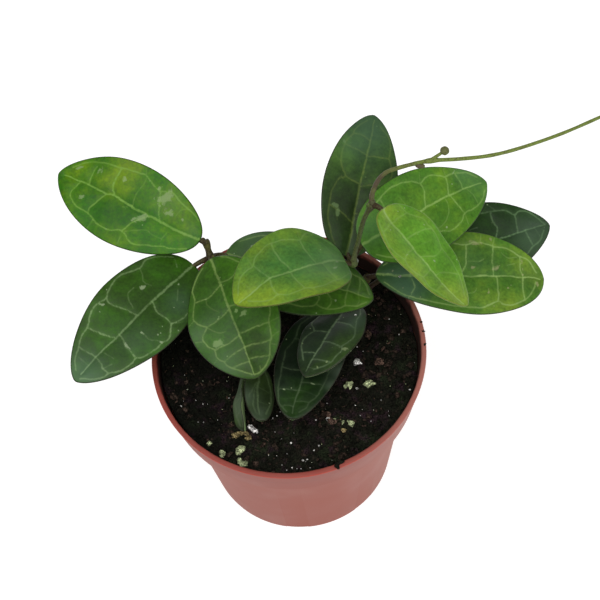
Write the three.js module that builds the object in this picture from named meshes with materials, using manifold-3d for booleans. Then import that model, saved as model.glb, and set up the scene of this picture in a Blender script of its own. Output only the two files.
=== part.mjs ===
// A potted hoya: a thin nursery pot of peat, five rooted stems and fourteen leaves.
// Sizes are in millimetres. +Z is up, the pot's axis is Z, its foot rests on z = 0
// and its front faces -Y.

import * as THREE from 'three';
import { mergeVertices } from 'three/addons/utils/BufferGeometryUtils.js';
import Module from 'manifold-3d';

const wasm = await Module();
wasm.setup();

// Clearance between pieces that touch.
const GAP = 0.3;

// Pot: a plastic cup with a collar under its rim.
const POT_HEIGHT = 86.5;
const RIM_RADIUS = 52.5;
const LIP_WIDTH = 2;
const COLLAR_HEIGHT = 18.7;
const COLLAR_FOOT_RADIUS = 49.5;
const BODY_TOP_RADIUS = 45.7;
const FOOT_RADIUS = 38;
const WALL = 1.4;
const EDGE_BEVEL = 0.7;
const POT_SIDES = 60;

// Pot base: a foot ring and a middle pad on the ground, with drain holes between them.
const PAD_RADIUS = 9;
const FOOT_RING_WIDTH = 5;
const RECESS = 1.6;
const FLOOR_THICKNESS = 1.5;
const DRAIN_COUNT = 6;
const DRAIN_RADIUS = 4;
const DRAIN_CIRCLE = 21;
const NOTCH_COUNT = 8;
const NOTCH_WIDTH = 9;
const NOTCH_HEIGHT = 1.4;
const NOTCH_TURN = -98;

// Soil: peat filled to a little under the rim.
const SOIL_EDGE_Z = 79.5;
const SOIL_CROWN = 1.5;
const SOIL_SIDES = 44;
const SOIL_RINGS = 8;
const LUMP_HEIGHT = 0.45;
const SOIL_FIT = WALL + GAP + 0.1;
const ROOT_DEPTH_Z = 58;

// Stems and leaf stalks are round, with few sides.
const STEM_RADIUS = 1;
const VINE_RADIUS = 0.75;
const STALK_RADIUS = 0.9;
const TUBE_SIDES = 8;
const STEM_HOLE_RADIUS = STEM_RADIUS + 0.4;
const STEM_HOLE_SIDES = 10;
const STEM_STEPS_PER_POINT = 3;
const VINE_STEPS = 36;
const SPUR_STEPS = 6;
const STALK_STEPS = 7;
const STALK_ARCH = 0.4;
const STALK_IN_BLADE = 4;

// Leaf blades: thick and leathery at the midrib, thinner at the margin.
const BLADE_MIDDLE = 1.3;
const BLADE_EDGE = 0.75;
const BLADE_STATIONS = 14;
const BLADE_CELLS = 6;
const BLADE_FOLD = 8;
const BLADE_DROOP = 0.05;
const BASE_ROUNDNESS = 0.5;
const TIP_ROUNDNESS = 0.62;
const RIPPLE_HEIGHT = 0.35;
const RIPPLE_COUNT = 2.5;

// Finishes: colour, roughness and metalness.
const FINISH = {
  pot: { color: 0xa5614f, roughness: 0.45, metalness: 0 },
  soil: { color: 0x1d1713, roughness: 0.95, metalness: 0 },
  brownStem: { color: 0x5f4d2e, roughness: 0.7, metalness: 0 },
  greenStem: { color: 0x6f7a36, roughness: 0.6, metalness: 0 },
  brightLeaf: { color: 0x5f9a33, roughness: 0.4, metalness: 0 },
  freshLeaf: { color: 0x4a7d2b, roughness: 0.4, metalness: 0 },
  middleLeaf: { color: 0x3c692e, roughness: 0.4, metalness: 0 },
  darkLeaf: { color: 0x2b4528, roughness: 0.4, metalness: 0 },
};

// Swollen stem joints that the leaves grow from.
const JOINTS = {
  mainLow: { at: [28.5, 19, 114.5], radius: 1.5 },
  mainMiddle: { at: [27.5, 13, 123], radius: 1.6 },
  mainTop: { at: [35.5, 21.5, 147], radius: 1.6 },
  leftLow: { at: [-25, 31.5, 108.5], radius: 1.6 },
  leftTop: { at: [-26, 35.5, 112.5], radius: 1.4 },
  rightLow: { at: [31.5, 19, 91], radius: 1.4 },
  rightTop: { at: [33, 20.5, 98.5], radius: 1.5 },
  lowFork: { at: [21, 15, 91], radius: 1.4 },
  shootFork: { at: [-14, -0.5, 86.5], radius: 1.3 },
};

// Heights at which every stem is still upright over its root.
const UPRIGHT_HEIGHTS = [ROOT_DEPTH_Z + GAP, 70, 84, 86.5];

// Stems: where each stands in the soil, the joints on it and its way up.
const STEMS = [
  {
    name: 'stem_main', finish: 'greenStem', root: [20, 27.5],
    joints: ['mainLow', 'mainMiddle', 'mainTop'],
    route: [[22, 28, 93], [27, 25.5, 104], [28.5, 19, 114.5], [27.5, 13, 123], [28.5, 15, 127.5],
      [30, 17, 132], [32.5, 20, 140.5], [35.5, 21.5, 147]],
  },
  {
    name: 'stem_left', finish: 'brownStem', root: [-17, 23],
    joints: ['leftLow', 'leftTop'],
    route: [[-19, 25, 94], [-23, 29, 103], [-25, 31.5, 108.5], [-26, 35.5, 112.5]],
  },
  {
    name: 'stem_right', finish: 'brownStem', root: [31.5, 19],
    joints: ['rightLow', 'rightTop'],
    route: [[31.5, 19, 91], [33, 20.5, 98.5]],
  },
  {
    name: 'stem_low', finish: 'brownStem', root: [20.5, 17],
    joints: ['lowFork'],
    route: [[21, 15, 91]],
  },
  {
    name: 'stem_shoot', finish: 'brownStem', root: [-14, 0],
    joints: ['shootFork'],
    route: [],
  },
];

// The main stem runs on as a thin vine that carries a spent flower spur.
const VINE_ROUTE = [[35.5, 21.5, 147], [36, 23, 151], [37, 24, 154], [38.5, 25, 157],
  [40.5, 25.5, 159.5], [43, 25.5, 161.5], [49.5, 24.5, 165], [56.5, 23.5, 167.5],
  [66.5, 22, 168.5], [77, 21.5, 168], [87.5, 24.5, 167], [103, 30, 165], [118, 36.5, 163],
  [133, 43, 161.5]];
const VINE_TIP_LENGTH = 6;
const SPUR_ROUTE = [[56.5, 23.5, 167.5], [59, 24, 169.3], [61.5, 24.7, 170.5]];
const SPUR_RADIUS = 0.5;
const SPUR_KNOB_RADIUS = 1.6;
const VINE_BUDS = [
  { at: [53, 23.7, 165.4], size: [1.5, 1, 0.9] },
  { at: [56.5, 23.4, 167.6], size: [1.4, 1.1, 1.1] },
  { at: [34.4, 22, 148], size: [1.2, 0.9, 1.4] },
];

// Leaves. base is where the midrib starts. heading and pitch are its direction there, in
// degrees; it turns by sweep and falls by bend along the leaf. roll leans the blade about
// its midrib, and widest moves its broadest part: over 1 towards the tip. Some leaves have
// their own fold, in degrees, or a tip rounder than most.
const LEAVES = [
  {
    name: 'leaf_upper_left', finish: 'freshLeaf', joint: 'leftTop', base: [-28, 36, 114.5],
    heading: 150, sweep: -5, pitch: 16, bend: 19, roll: -22, length: 62, width: 33, widest: 1,
  },
  {
    name: 'leaf_lower_left', finish: 'middleLeaf', joint: 'leftLow', base: [-32, 30.5, 106.5],
    heading: -137, sweep: 0, pitch: 10, bend: 21, roll: -12, length: 64, width: 34, widest: 0.84,
  },
  {
    name: 'leaf_centre_left', finish: 'middleLeaf', joint: 'leftLow', base: [-25, 29, 111.5],
    heading: -75, sweep: -2, pitch: 16, bend: 46, roll: 20, length: 52.5, width: 36, widest: 1.13,
  },
  {
    name: 'leaf_under_centre', finish: 'darkLeaf', joint: 'leftLow', base: [-19.5, 34.5, 105.5],
    heading: -32, sweep: 11, pitch: 7, bend: 17, roll: 7, length: 60, width: 32, widest: 0.85,
  },
  {
    name: 'leaf_centre', finish: 'brightLeaf', joint: 'mainMiddle', base: [24.5, 12, 126],
    heading: -169, sweep: 22, pitch: 45, bend: 69, roll: 9, length: 48, width: 33.5, widest: 1,
  },
  {
    name: 'leaf_top', finish: 'darkLeaf', joint: 'mainLow', base: [25.5, 21.5, 114.5],
    heading: 70, sweep: 4, pitch: 29, bend: 31, roll: 17, length: 58, width: 28.5, widest: 0.87,
  },
  {
    name: 'leaf_right_upper', finish: 'freshLeaf', joint: 'mainMiddle', base: [31, 20, 124],
    heading: 26, sweep: 5, pitch: 0, bend: 22, roll: 25, length: 60, width: 32.5, widest: 0.79,
  },
  {
    name: 'leaf_right_front', finish: 'brightLeaf', joint: 'mainTop', base: [39.5, 18.5, 149],
    heading: -54, sweep: 5, pitch: -19, bend: 13, roll: -27, length: 45.5, width: 27, widest: 0.72,
  },
  {
    name: 'leaf_right_lower', finish: 'freshLeaf', joint: 'rightTop', base: [36, 20, 101],
    heading: -6, sweep: 4, pitch: 5, bend: 31, roll: 10, length: 66.5, width: 33.5, widest: 1.18,
    tip: 0.52,
  },
  {
    name: 'leaf_far_right', finish: 'darkLeaf', joint: 'rightLow', base: [44.5, 26, 92],
    heading: 13, sweep: -1, pitch: 2, bend: 7, roll: 15, length: 64, width: 33.5, widest: 0.97,
  },
  {
    name: 'leaf_low_upper', finish: 'darkLeaf', joint: 'lowFork', base: [25.5, 10.5, 98],
    heading: -114, sweep: -15, pitch: 24, bend: 23, roll: 17, length: 40, width: 24, widest: 0.97,
  },
  {
    name: 'leaf_low_lower', finish: 'darkLeaf', joint: 'lowFork', base: [17.5, 11, 91],
    heading: -117, sweep: 8, pitch: 13, bend: 10, roll: -4, length: 50, width: 25, widest: 0.84,
    tip: 0.52,
  },
  {
    name: 'leaf_small', finish: 'darkLeaf', joint: 'shootFork', base: [-12, -3.5, 87],
    heading: -94, sweep: 5, pitch: 8, bend: 5, roll: -16, length: 26.5, width: 11.5, widest: 1.08,
    tip: 0.45,
  },
  {
    name: 'leaf_folded', finish: 'darkLeaf', joint: 'shootFork', base: [-17.5, -6, 85.5],
    heading: -100, sweep: 12, pitch: 8, bend: 6, roll: 50, length: 26.5, width: 7.5, widest: 1.2,
    fold: 38,
  },
];

const radians = THREE.MathUtils.degToRad;
const vector = (point) => new THREE.Vector3(...point);

/** A closed solid from a closed geometry, with its split vertices joined. */
function solidOf(geometry) {
  const bare = new THREE.BufferGeometry();
  bare.setAttribute('position', geometry.getAttribute('position'));
  bare.setIndex(geometry.getIndex());
  const joined = mergeVertices(bare, 1e-4);
  const corners = joined.getIndex().array;
  const kept = [];
  for (let i = 0; i < corners.length; i += 3) {
    const [a, b, c] = [corners[i], corners[i + 1], corners[i + 2]];
    if (a !== b && b !== c && c !== a) {
      kept.push(a, b, c);
    }
  }
  return new wasm.Manifold(new wasm.Mesh({
    numProp: 3,
    vertProperties: joined.getAttribute('position').array,
    triVerts: Uint32Array.from(kept),
  }));
}

/** A named mesh from a solid. */
function meshOf(name, solid, finish) {
  const faces = solid.getMesh();
  const geometry = new THREE.BufferGeometry();
  geometry.setAttribute('position', new THREE.BufferAttribute(faces.vertProperties, 3));
  geometry.setIndex(new THREE.BufferAttribute(faces.triVerts, 1));
  geometry.computeVertexNormals();
  const mesh = new THREE.Mesh(geometry, new THREE.MeshStandardMaterial(FINISH[finish]));
  mesh.name = name;
  return mesh;
}

/** A solid of revolution about Z from a profile of [radius, height] points. */
function turned(profile, sides) {
  const points = profile.map(([radius, height]) => new THREE.Vector2(radius, height));
  return new THREE.LatheGeometry(points, sides).rotateX(Math.PI / 2);
}

/** An upright cylinder between two heights. */
function post(x, y, low, high, radius, sides) {
  const geometry = new THREE.CylinderGeometry(radius, radius, high - low, sides);
  return geometry.rotateX(Math.PI / 2).translate(x, y, (low + high) / 2);
}

/** A round tube along a curve, closed at both ends. */
function tube(curve, radius, steps) {
  const section = new THREE.Shape();
  for (let side = 0; side < TUBE_SIDES; side += 1) {
    const angle = (2 * Math.PI * side) / TUBE_SIDES;
    const corner = [radius * Math.cos(angle), radius * Math.sin(angle)];
    if (side === 0) {
      section.moveTo(...corner);
    } else {
      section.lineTo(...corner);
    }
  }
  const settings = { steps, bevelEnabled: false, extrudePath: curve };
  return solidOf(new THREE.ExtrudeGeometry(section, settings));
}

/** A small egg-shaped solid, such as a bud. */
function bead(at, size) {
  const geometry = new THREE.SphereGeometry(1, TUBE_SIDES, 6).scale(...size);
  return solidOf(geometry.translate(...at));
}

/** A small round solid: a knob or a swollen joint. */
function ball(at, radius) {
  return bead(at, [radius, radius, radius]);
}

/** The pot: outside, foot and inside in one profile, less its drain holes and foot notches. */
function makePot() {
  const stepZ = POT_HEIGHT - COLLAR_HEIGHT;
  const footInside = FOOT_RADIUS - FOOT_RING_WIDTH;
  const floorZ = RECESS + FLOOR_THICKNESS;
  const profile = [
    [0, 0],
    [PAD_RADIUS, 0],
    [PAD_RADIUS + EDGE_BEVEL, RECESS],
    [footInside - EDGE_BEVEL, RECESS],
    [footInside, 0],
    [FOOT_RADIUS - EDGE_BEVEL, 0],
    [FOOT_RADIUS, EDGE_BEVEL],
    [BODY_TOP_RADIUS, stepZ],
    [COLLAR_FOOT_RADIUS - EDGE_BEVEL, stepZ],
    [COLLAR_FOOT_RADIUS, stepZ + EDGE_BEVEL],
    [RIM_RADIUS - EDGE_BEVEL / 2, POT_HEIGHT - 2 * EDGE_BEVEL],
    [RIM_RADIUS, POT_HEIGHT - EDGE_BEVEL],
    [RIM_RADIUS - EDGE_BEVEL / 2, POT_HEIGHT],
    [RIM_RADIUS - LIP_WIDTH, POT_HEIGHT],
    [COLLAR_FOOT_RADIUS - WALL, stepZ + WALL],
    [BODY_TOP_RADIUS - WALL, stepZ + WALL],
    [FOOT_RADIUS - WALL, floorZ],
    [0, floorZ],
  ];
  let pot = solidOf(turned(profile, POT_SIDES));
  for (let hole = 0; hole < DRAIN_COUNT; hole += 1) {
    const angle = (2 * Math.PI * hole) / DRAIN_COUNT;
    const x = DRAIN_CIRCLE * Math.cos(angle);
    const y = DRAIN_CIRCLE * Math.sin(angle);
    pot = pot.subtract(solidOf(post(x, y, -1, floorZ + 1, DRAIN_RADIUS, 16)));
  }
  for (let notch = 0; notch < NOTCH_COUNT; notch += 1) {
    const angle = radians(NOTCH_TURN + (360 * notch) / NOTCH_COUNT);
    const block = new THREE.BoxGeometry(FOOT_RING_WIDTH * 3, NOTCH_WIDTH, 2 * NOTCH_HEIGHT);
    block.translate(FOOT_RADIUS, 0, 0).rotateZ(angle);
    pot = pot.subtract(solidOf(block));
  }
  return meshOf('pot', pot, 'pot');
}

/** Height of the lumps on the soil, which die out at the pot's wall. */
function lump(x, y, reach) {
  const coarse = Math.sin(x * 0.55 + 1.3) * Math.sin(y * 0.5 + 0.4);
  const fine = Math.sin(x * 1.3 - y * 0.9) + Math.sin(y * 1.5 + x * 0.4 + 2);
  const fade = Math.min(1, (1 - Math.hypot(x, y) / reach) * 8);
  return LUMP_HEIGHT * fade * (coarse + 0.5 * fine);
}

/** The soil: a plug that fits the pot, lumpy on top, with a plain hole for each stem. */
function makeSoil() {
  const stepZ = POT_HEIGHT - COLLAR_HEIGHT;
  const floorZ = RECESS + FLOOR_THICKNESS + GAP;
  const wallSlope = (RIM_RADIUS - COLLAR_FOOT_RADIUS) / COLLAR_HEIGHT;
  const reach = COLLAR_FOOT_RADIUS - SOIL_FIT + wallSlope * (SOIL_EDGE_Z - stepZ - WALL) - GAP / 2;
  const profile = [
    [0, floorZ],
    [FOOT_RADIUS - SOIL_FIT, floorZ],
    [BODY_TOP_RADIUS - SOIL_FIT, stepZ + WALL + GAP],
    [COLLAR_FOOT_RADIUS - SOIL_FIT, stepZ + WALL + GAP],
    [reach, SOIL_EDGE_Z],
  ];
  for (let ring = SOIL_RINGS - 1; ring >= 0; ring -= 1) {
    const share = ring / SOIL_RINGS;
    profile.push([reach * share, SOIL_EDGE_Z + SOIL_CROWN * (1 - share * share)]);
  }
  const geometry = turned(profile, SOIL_SIDES);
  const places = geometry.getAttribute('position');
  for (let i = 0; i < places.count; i += 1) {
    if (places.getZ(i) > SOIL_EDGE_Z) {
      places.setZ(i, places.getZ(i) + lump(places.getX(i), places.getY(i), reach));
    }
  }
  let soil = solidOf(geometry);
  for (const stem of STEMS) {
    const hole = post(...stem.root, ROOT_DEPTH_Z, POT_HEIGHT, STEM_HOLE_RADIUS, STEM_HOLE_SIDES);
    soil = soil.subtract(solidOf(hole));
  }
  return meshOf('soil', soil, 'soil');
}

/** A stem: upright in its hole, then along its route, with its swollen joints. */
function makeStem(stem) {
  const [x, y] = stem.root;
  const upright = UPRIGHT_HEIGHTS.map((z) => new THREE.Vector3(x, y, z));
  const points = [...upright, ...stem.route.map(vector)];
  const steps = STEM_STEPS_PER_POINT * points.length;
  let solid = tube(new THREE.CatmullRomCurve3(points), STEM_RADIUS, steps);
  for (const name of stem.joints) {
    const { at, radius } = JOINTS[name];
    solid = solid.add(ball(at, radius));
  }
  if (stem.name === 'stem_main') {
    solid = solid.add(vineSolid());
  }
  return meshOf(stem.name, solid, stem.finish);
}

/** The vine above the last joint, with its growing tip, buds and flower spur. */
function vineSolid() {
  const curve = new THREE.CatmullRomCurve3(VINE_ROUTE.map(vector));
  const end = curve.getPoint(1);
  const ahead = curve.getTangent(1);
  const tip = new THREE.ConeGeometry(VINE_RADIUS, VINE_TIP_LENGTH, TUBE_SIDES);
  tip.translate(0, VINE_TIP_LENGTH / 2 - 1, 0);
  tip.applyQuaternion(new THREE.Quaternion().setFromUnitVectors(new THREE.Vector3(0, 1, 0), ahead));
  let solid = tube(curve, VINE_RADIUS, VINE_STEPS).add(solidOf(tip.translate(...end)));
  const spur = new THREE.CatmullRomCurve3(SPUR_ROUTE.map(vector));
  solid = solid.add(tube(spur, SPUR_RADIUS, SPUR_STEPS));
  solid = solid.add(ball(SPUR_ROUTE.at(-1), SPUR_KNOB_RADIUS));
  for (const bud of VINE_BUDS) {
    solid = solid.add(bead(bud.at, bud.size));
  }
  return solid;
}

/** Half the blade's width at a share of its length, as a share of half the full width. */
function bladeOutline(leaf, share) {
  const tip = leaf.tip ?? TIP_ROUNDNESS;
  const roundness = BASE_ROUNDNESS + (tip - BASE_ROUNDNESS) * share;
  return Math.abs(Math.sin(Math.PI * share ** leaf.widest)) ** roundness;
}

/** Direction of the midrib at a share of the leaf's length. */
function midribDirection(leaf, share) {
  const heading = radians(leaf.heading + leaf.sweep * share);
  const pitch = radians(leaf.pitch - leaf.bend * share);
  return new THREE.Vector3(
    Math.cos(pitch) * Math.cos(heading),
    Math.cos(pitch) * Math.sin(heading),
    Math.sin(pitch),
  );
}

/** Point on the midrib at a share of the leaf's length, with the blade's axes there. */
function midribFrame(leaf, share) {
  const steps = 32;
  const point = vector(leaf.base);
  for (let step = 0; step < steps; step += 1) {
    const middle = (share * (step + 0.5)) / steps;
    point.addScaledVector(midribDirection(leaf, middle), (leaf.length * share) / steps);
  }
  const along = midribDirection(leaf, share);
  const left = new THREE.Vector3(0, 0, 1).cross(along).normalize();
  const across = left.clone().applyAxisAngle(along, radians(leaf.roll));
  const up = along.clone().cross(across);
  return { point, along, across, up };
}

/** A point on the blade: side is -1 to 1 across it and face is 1 on top, -1 below. */
function bladePoint(leaf, share, side, face) {
  const { point, across, up } = midribFrame(leaf, share);
  const fold = radians(leaf.fold ?? BLADE_FOLD);
  const half = (leaf.width / 2) * bladeOutline(leaf, share);
  const ripple = RIPPLE_HEIGHT * Math.sin(2 * Math.PI * RIPPLE_COUNT * share + 2 * side + leaf.length);
  const rise = half * (Math.abs(side) * Math.tan(fold) - BLADE_DROOP * side * side);
  const thickness = BLADE_MIDDLE - (BLADE_MIDDLE - BLADE_EDGE) * side * side;
  point.addScaledVector(across, half * side * Math.cos(fold));
  return point.addScaledVector(up, rise + ripple * side * side + (face * thickness) / 2);
}

/** The blade: a top and a bottom face in like triangles, joined by a rim. */
function bladeSolid(leaf) {
  const across = BLADE_CELLS + 1;
  const points = [];
  for (const face of [1, -1]) {
    for (let row = 0; row <= BLADE_STATIONS; row += 1) {
      const share = (1 - Math.cos((Math.PI * row) / BLADE_STATIONS)) / 2;
      for (let column = 0; column < across; column += 1) {
        const side = row % BLADE_STATIONS === 0 ? 0 : (2 * column) / BLADE_CELLS - 1;
        points.push(bladePoint(leaf, share, side, face));
      }
    }
  }
  const corner = (layer, row, column) => (layer * (BLADE_STATIONS + 1) + row) * across + column;
  const corners = [];
  const quad = (a, b, c, d) => corners.push(a, b, c, a, c, d);
  for (let row = 0; row < BLADE_STATIONS; row += 1) {
    for (let column = 0; column < BLADE_CELLS; column += 1) {
      const cell = [[row, column], [row + 1, column], [row + 1, column + 1], [row, column + 1]];
      quad(...cell.map((place) => corner(0, ...place)));
      const [a, b, c, d] = cell.map((place) => corner(1, ...place));
      corners.push(a, c, b, a, d, c);
    }
    quad(corner(0, row, 0), corner(1, row, 0), corner(1, row + 1, 0), corner(0, row + 1, 0));
    quad(
      corner(0, row, BLADE_CELLS),
      corner(0, row + 1, BLADE_CELLS),
      corner(1, row + 1, BLADE_CELLS),
      corner(1, row, BLADE_CELLS),
    );
  }
  const geometry = new THREE.BufferGeometry().setFromPoints(points).setIndex(corners);
  return solidOf(geometry);
}

/** The leaf stalk: from just clear of its joint, into the underside of the blade. */
function stalkSolid(leaf) {
  const joint = JOINTS[leaf.joint];
  const { point, along, up } = midribFrame(leaf, 0);
  const centre = vector(joint.at);
  const reach = centre.distanceTo(point);
  const bend = point.clone().addScaledVector(along, -STALK_ARCH * reach);
  const start = bend.clone().sub(centre).setLength(joint.radius + GAP).add(centre);
  const sunk = point.clone().addScaledVector(along, STALK_IN_BLADE).addScaledVector(up, -GAP);
  return tube(new THREE.QuadraticBezierCurve3(start, bend, sunk), STALK_RADIUS, STALK_STEPS);
}

/** A leaf: blade and stalk in one. */
function makeLeaf(leaf) {
  return meshOf(leaf.name, bladeSolid(leaf).add(stalkSolid(leaf)), leaf.finish);
}

const plant = new THREE.Group();
plant.add(makePot());
plant.add(makeSoil());
for (const stem of STEMS) {
  plant.add(makeStem(stem));
}
for (const leaf of LEAVES) {
  plant.add(makeLeaf(leaf));
}

export default plant;
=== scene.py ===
"""The looks of the potted hoya plant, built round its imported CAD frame.

Every size below is in millimetres and becomes metres in the mesh. The leaves, stems, soil and pot stand
where the CAD solids stand; this script adds the veins, the thin leaf margins, the bark, the crumbs of
peat and the moulded plastic. Places on a leaf are (share, side) in percent: share runs from 0 at its stalk
to 100 at its tip, and side from -100 at one margin to 100 at the other.
"""

import logging
import math
import random
from collections.abc import Callable
from dataclasses import dataclass, field
from enum import Enum
from functools import partial

import bmesh
import bpy
import numpy as np
from mathutils import Matrix, Vector, noise


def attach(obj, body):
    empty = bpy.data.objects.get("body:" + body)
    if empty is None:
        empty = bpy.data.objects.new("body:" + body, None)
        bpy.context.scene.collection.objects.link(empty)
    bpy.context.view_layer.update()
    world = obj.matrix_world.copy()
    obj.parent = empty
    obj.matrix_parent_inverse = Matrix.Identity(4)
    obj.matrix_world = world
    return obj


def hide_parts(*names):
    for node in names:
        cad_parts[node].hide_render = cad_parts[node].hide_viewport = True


MM = 0.001
PHOTO_SIDE = 600

# How far away a vein or a fleck counts where a leaf has none.
FAR = 9.0

# Without a seed, the noise that the veins wander by is shifted anew in each run.
WANDER_SEED = 3

# A Mix of colours takes its strength at socket 0 and the colours at 6 and 7, and gives its result at 2;
# one of numbers takes them at 2 and 3. A MapRange takes the number, the range that it comes from and the
# range that it goes to.
BLEND = {"data_type": "RGBA"}
SMOOTH = {"interpolation_type": "SMOOTHSTEP"}

Spot = tuple[float, float]
Point = tuple[float, float, float]
Line = tuple[Spot, ...]
Socket = bpy.types.NodeSocket
Adder = Callable[..., Socket]
Layers = list[tuple[Socket, str]]

log = logging.getLogger("hoya")
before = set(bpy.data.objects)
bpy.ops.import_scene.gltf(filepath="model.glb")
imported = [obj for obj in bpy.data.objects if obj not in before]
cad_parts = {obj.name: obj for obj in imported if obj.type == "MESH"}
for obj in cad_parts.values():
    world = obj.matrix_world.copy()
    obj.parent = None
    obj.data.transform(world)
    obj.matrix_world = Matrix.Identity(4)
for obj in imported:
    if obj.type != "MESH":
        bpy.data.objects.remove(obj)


class Slot(Enum):
    """The record's material slots."""

    POT = "pot_plastic"
    PEAT = "peat"
    GREEN_STEM = "green_stem"
    BROWN_STEM = "brown_stem"
    BRIGHT_LEAF = "bright_leaf"
    FRESH_LEAF = "fresh_leaf"
    MIDDLE_LEAF = "middle_leaf"
    DARK_LEAF = "dark_leaf"


class Grain(Enum):
    """The kinds of bit that lie in the peat."""

    CRUMB = 0.0
    BARK = 0.35
    HUSK = 0.5
    GREENISH = 0.7
    PERLITE = 1.0


def linear(code: str) -> tuple[float, float, float, float]:
    """Turns an sRGB hex colour into Blender's linear colour.

    Args:
        code: the colour as "#RRGGBB".

    Returns:
        Linear red, green and blue, and an alpha of 1.
    """
    shares = [int(code[i : i + 2], 16) / 255 for i in (1, 3, 5)]
    bright = [c / 12.92 if c <= 0.04045 else ((c + 0.055) / 1.055) ** 2.4 for c in shares]
    return (*bright, 1.0)


def add_node(
    tree: bpy.types.NodeTree, kind: str, inputs: dict | tuple = (), out: str | int = 0, **settings: str | bool
) -> Socket | None:
    """Adds one node to a material.

    Args:
        tree: the material's node tree.
        kind: the node's type after "ShaderNode", such as "Mix".
        inputs: what its input sockets take, in their order or by name or number: a constant, or the
            output socket that feeds them.
        out: the output socket that is wanted.
        **settings: the node's own properties.

    Returns:
        The wanted output socket, or None where the node has none.
    """
    node = tree.nodes.new("ShaderNode" + kind)
    for name, value in settings.items():
        setattr(node, name, value)
    for socket, value in inputs.items() if isinstance(inputs, dict) else enumerate(inputs):
        if isinstance(value, Socket):
            tree.links.new(value, node.inputs[socket])
        else:
            node.inputs[socket].default_value = value
    return node.outputs[out] if node.outputs else None


def bare_material(name: str) -> tuple[bpy.types.Material, Adder]:
    """Makes an empty node material.

    Args:
        name: what the real material is.

    Returns:
        The material, and add_node for its own tree.
    """
    material = bpy.data.materials.new(name)
    material.use_nodes = True
    material.node_tree.nodes.clear()
    return material, partial(add_node, material.node_tree)


def smooth_line(points: Line | tuple[Point, ...], parts: int = 6) -> np.ndarray:
    """Runs a smooth Catmull-Rom curve through points.

    Args:
        points: the points that the curve passes.
        parts: the number of short straight parts between two points.

    Returns:
        The points of the curve, one row each.
    """
    given = np.array(points, float)
    if len(given) < 3:
        return given
    ends = np.vstack([2 * given[0] - given[1], given, 2 * given[-1] - given[-2]])
    t = np.arange(parts)[:, None] / parts
    rows = []
    for a, b, c, d in zip(ends, ends[1:], ends[2:], ends[3:]):
        square, cube = 2 * a - 5 * b + 4 * c - d, 3 * b - a - 3 * c + d
        rows.append(0.5 * (2 * b + (c - a) * t + square * t**2 + cube * t**3))
    return np.vstack(rows + [given[-1:]])


def distance_to(points: np.ndarray, line: np.ndarray) -> np.ndarray:
    """Measures how far flat points lie from a line of straight parts.

    Args:
        points: the points, one row each.
        line: the line's points, one row each.

    Returns:
        One distance per point.
    """
    x, y = points[:, 0], points[:, 1]
    nearest = np.full(len(points), 1e9)
    for a, b in zip(line, line[1:]):
        run = b - a
        share = np.clip(((x - a[0]) * run[0] + (y - a[1]) * run[1]) / max(float(run @ run), 1e-9), 0, 1)
        away = (x - a[0] - share * run[0]) ** 2 + (y - a[1] - share * run[1]) ** 2
        np.minimum(nearest, away, out=nearest)
    return np.sqrt(nearest)


def new_mesh(name: str, bm: bmesh.types.BMesh) -> bpy.types.Mesh:
    """Turns a finished bmesh into a mesh, and frees it.

    Args:
        name: the mesh's name.
        bm: the shape.

    Returns:
        The mesh.
    """
    mesh = bpy.data.meshes.new(name)
    bm.to_mesh(mesh)
    bm.free()
    return mesh


def new_object(name: str, data: bpy.types.ID) -> bpy.types.Object:
    """Puts an object into the scene.

    Args:
        name: the object's name.
        data: its mesh, lamp or camera.

    Returns:
        The object.
    """
    thing = bpy.data.objects.new(name, data)
    bpy.context.scene.collection.objects.link(thing)
    return thing


def tone_bmesh() -> bmesh.types.BMesh:
    """Starts a bmesh whose vertices carry the tone that the stems' and the peat's finishes read.

    Returns:
        The empty bmesh.
    """
    bm = bmesh.new()
    bm.verts.layers.float.new("tone")
    return bm


def as_piece(
    mesh: bpy.types.Mesh, material: bpy.types.Material, nodes: tuple[str, ...]
) -> bpy.types.Object:
    """Makes a smooth-shaded piece of a mesh, which rides on the plant's one body.

    Args:
        mesh: the shape, in metres, under the piece's name.
        material: its finish.
        nodes: the CAD nodes that it stands for.

    Returns:
        The piece.
    """
    mesh.polygons.foreach_set("use_smooth", np.ones(len(mesh.polygons), bool))
    mesh.materials.append(material)
    piece = new_object(mesh.name, mesh)
    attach(piece, "root")
    for node in nodes:
        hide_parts(node)
    log.info("%s: %d faces", piece.name, len(mesh.polygons))
    return piece


def place_at(middle: Point | Vector | np.ndarray, turn: Matrix, size: Point | Vector) -> Matrix:
    """The matrix that sizes a shape, turns it and sets it down, with sizes and places in millimetres."""
    return Matrix.Translation(Vector(middle) * MM) @ turn.to_4x4() @ Matrix.Diagonal((*(Vector(size) * MM), 1))


def grow_ring(bm: bmesh.types.BMesh, edges: list[bmesh.types.BMEdge]) -> tuple[list, list]:
    """Extrudes a ring of edges where it stands.

    Args:
        bm: the bmesh that holds it.
        edges: the ring's edges.

    Returns:
        The new ring's vertices and edges.
    """
    grown = bmesh.ops.extrude_edge_only(bm, edges=edges)["geom"]
    ring = [item for item in grown if isinstance(item, bmesh.types.BMVert)]
    return ring, [item for item in grown if isinstance(item, bmesh.types.BMEdge)]


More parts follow.
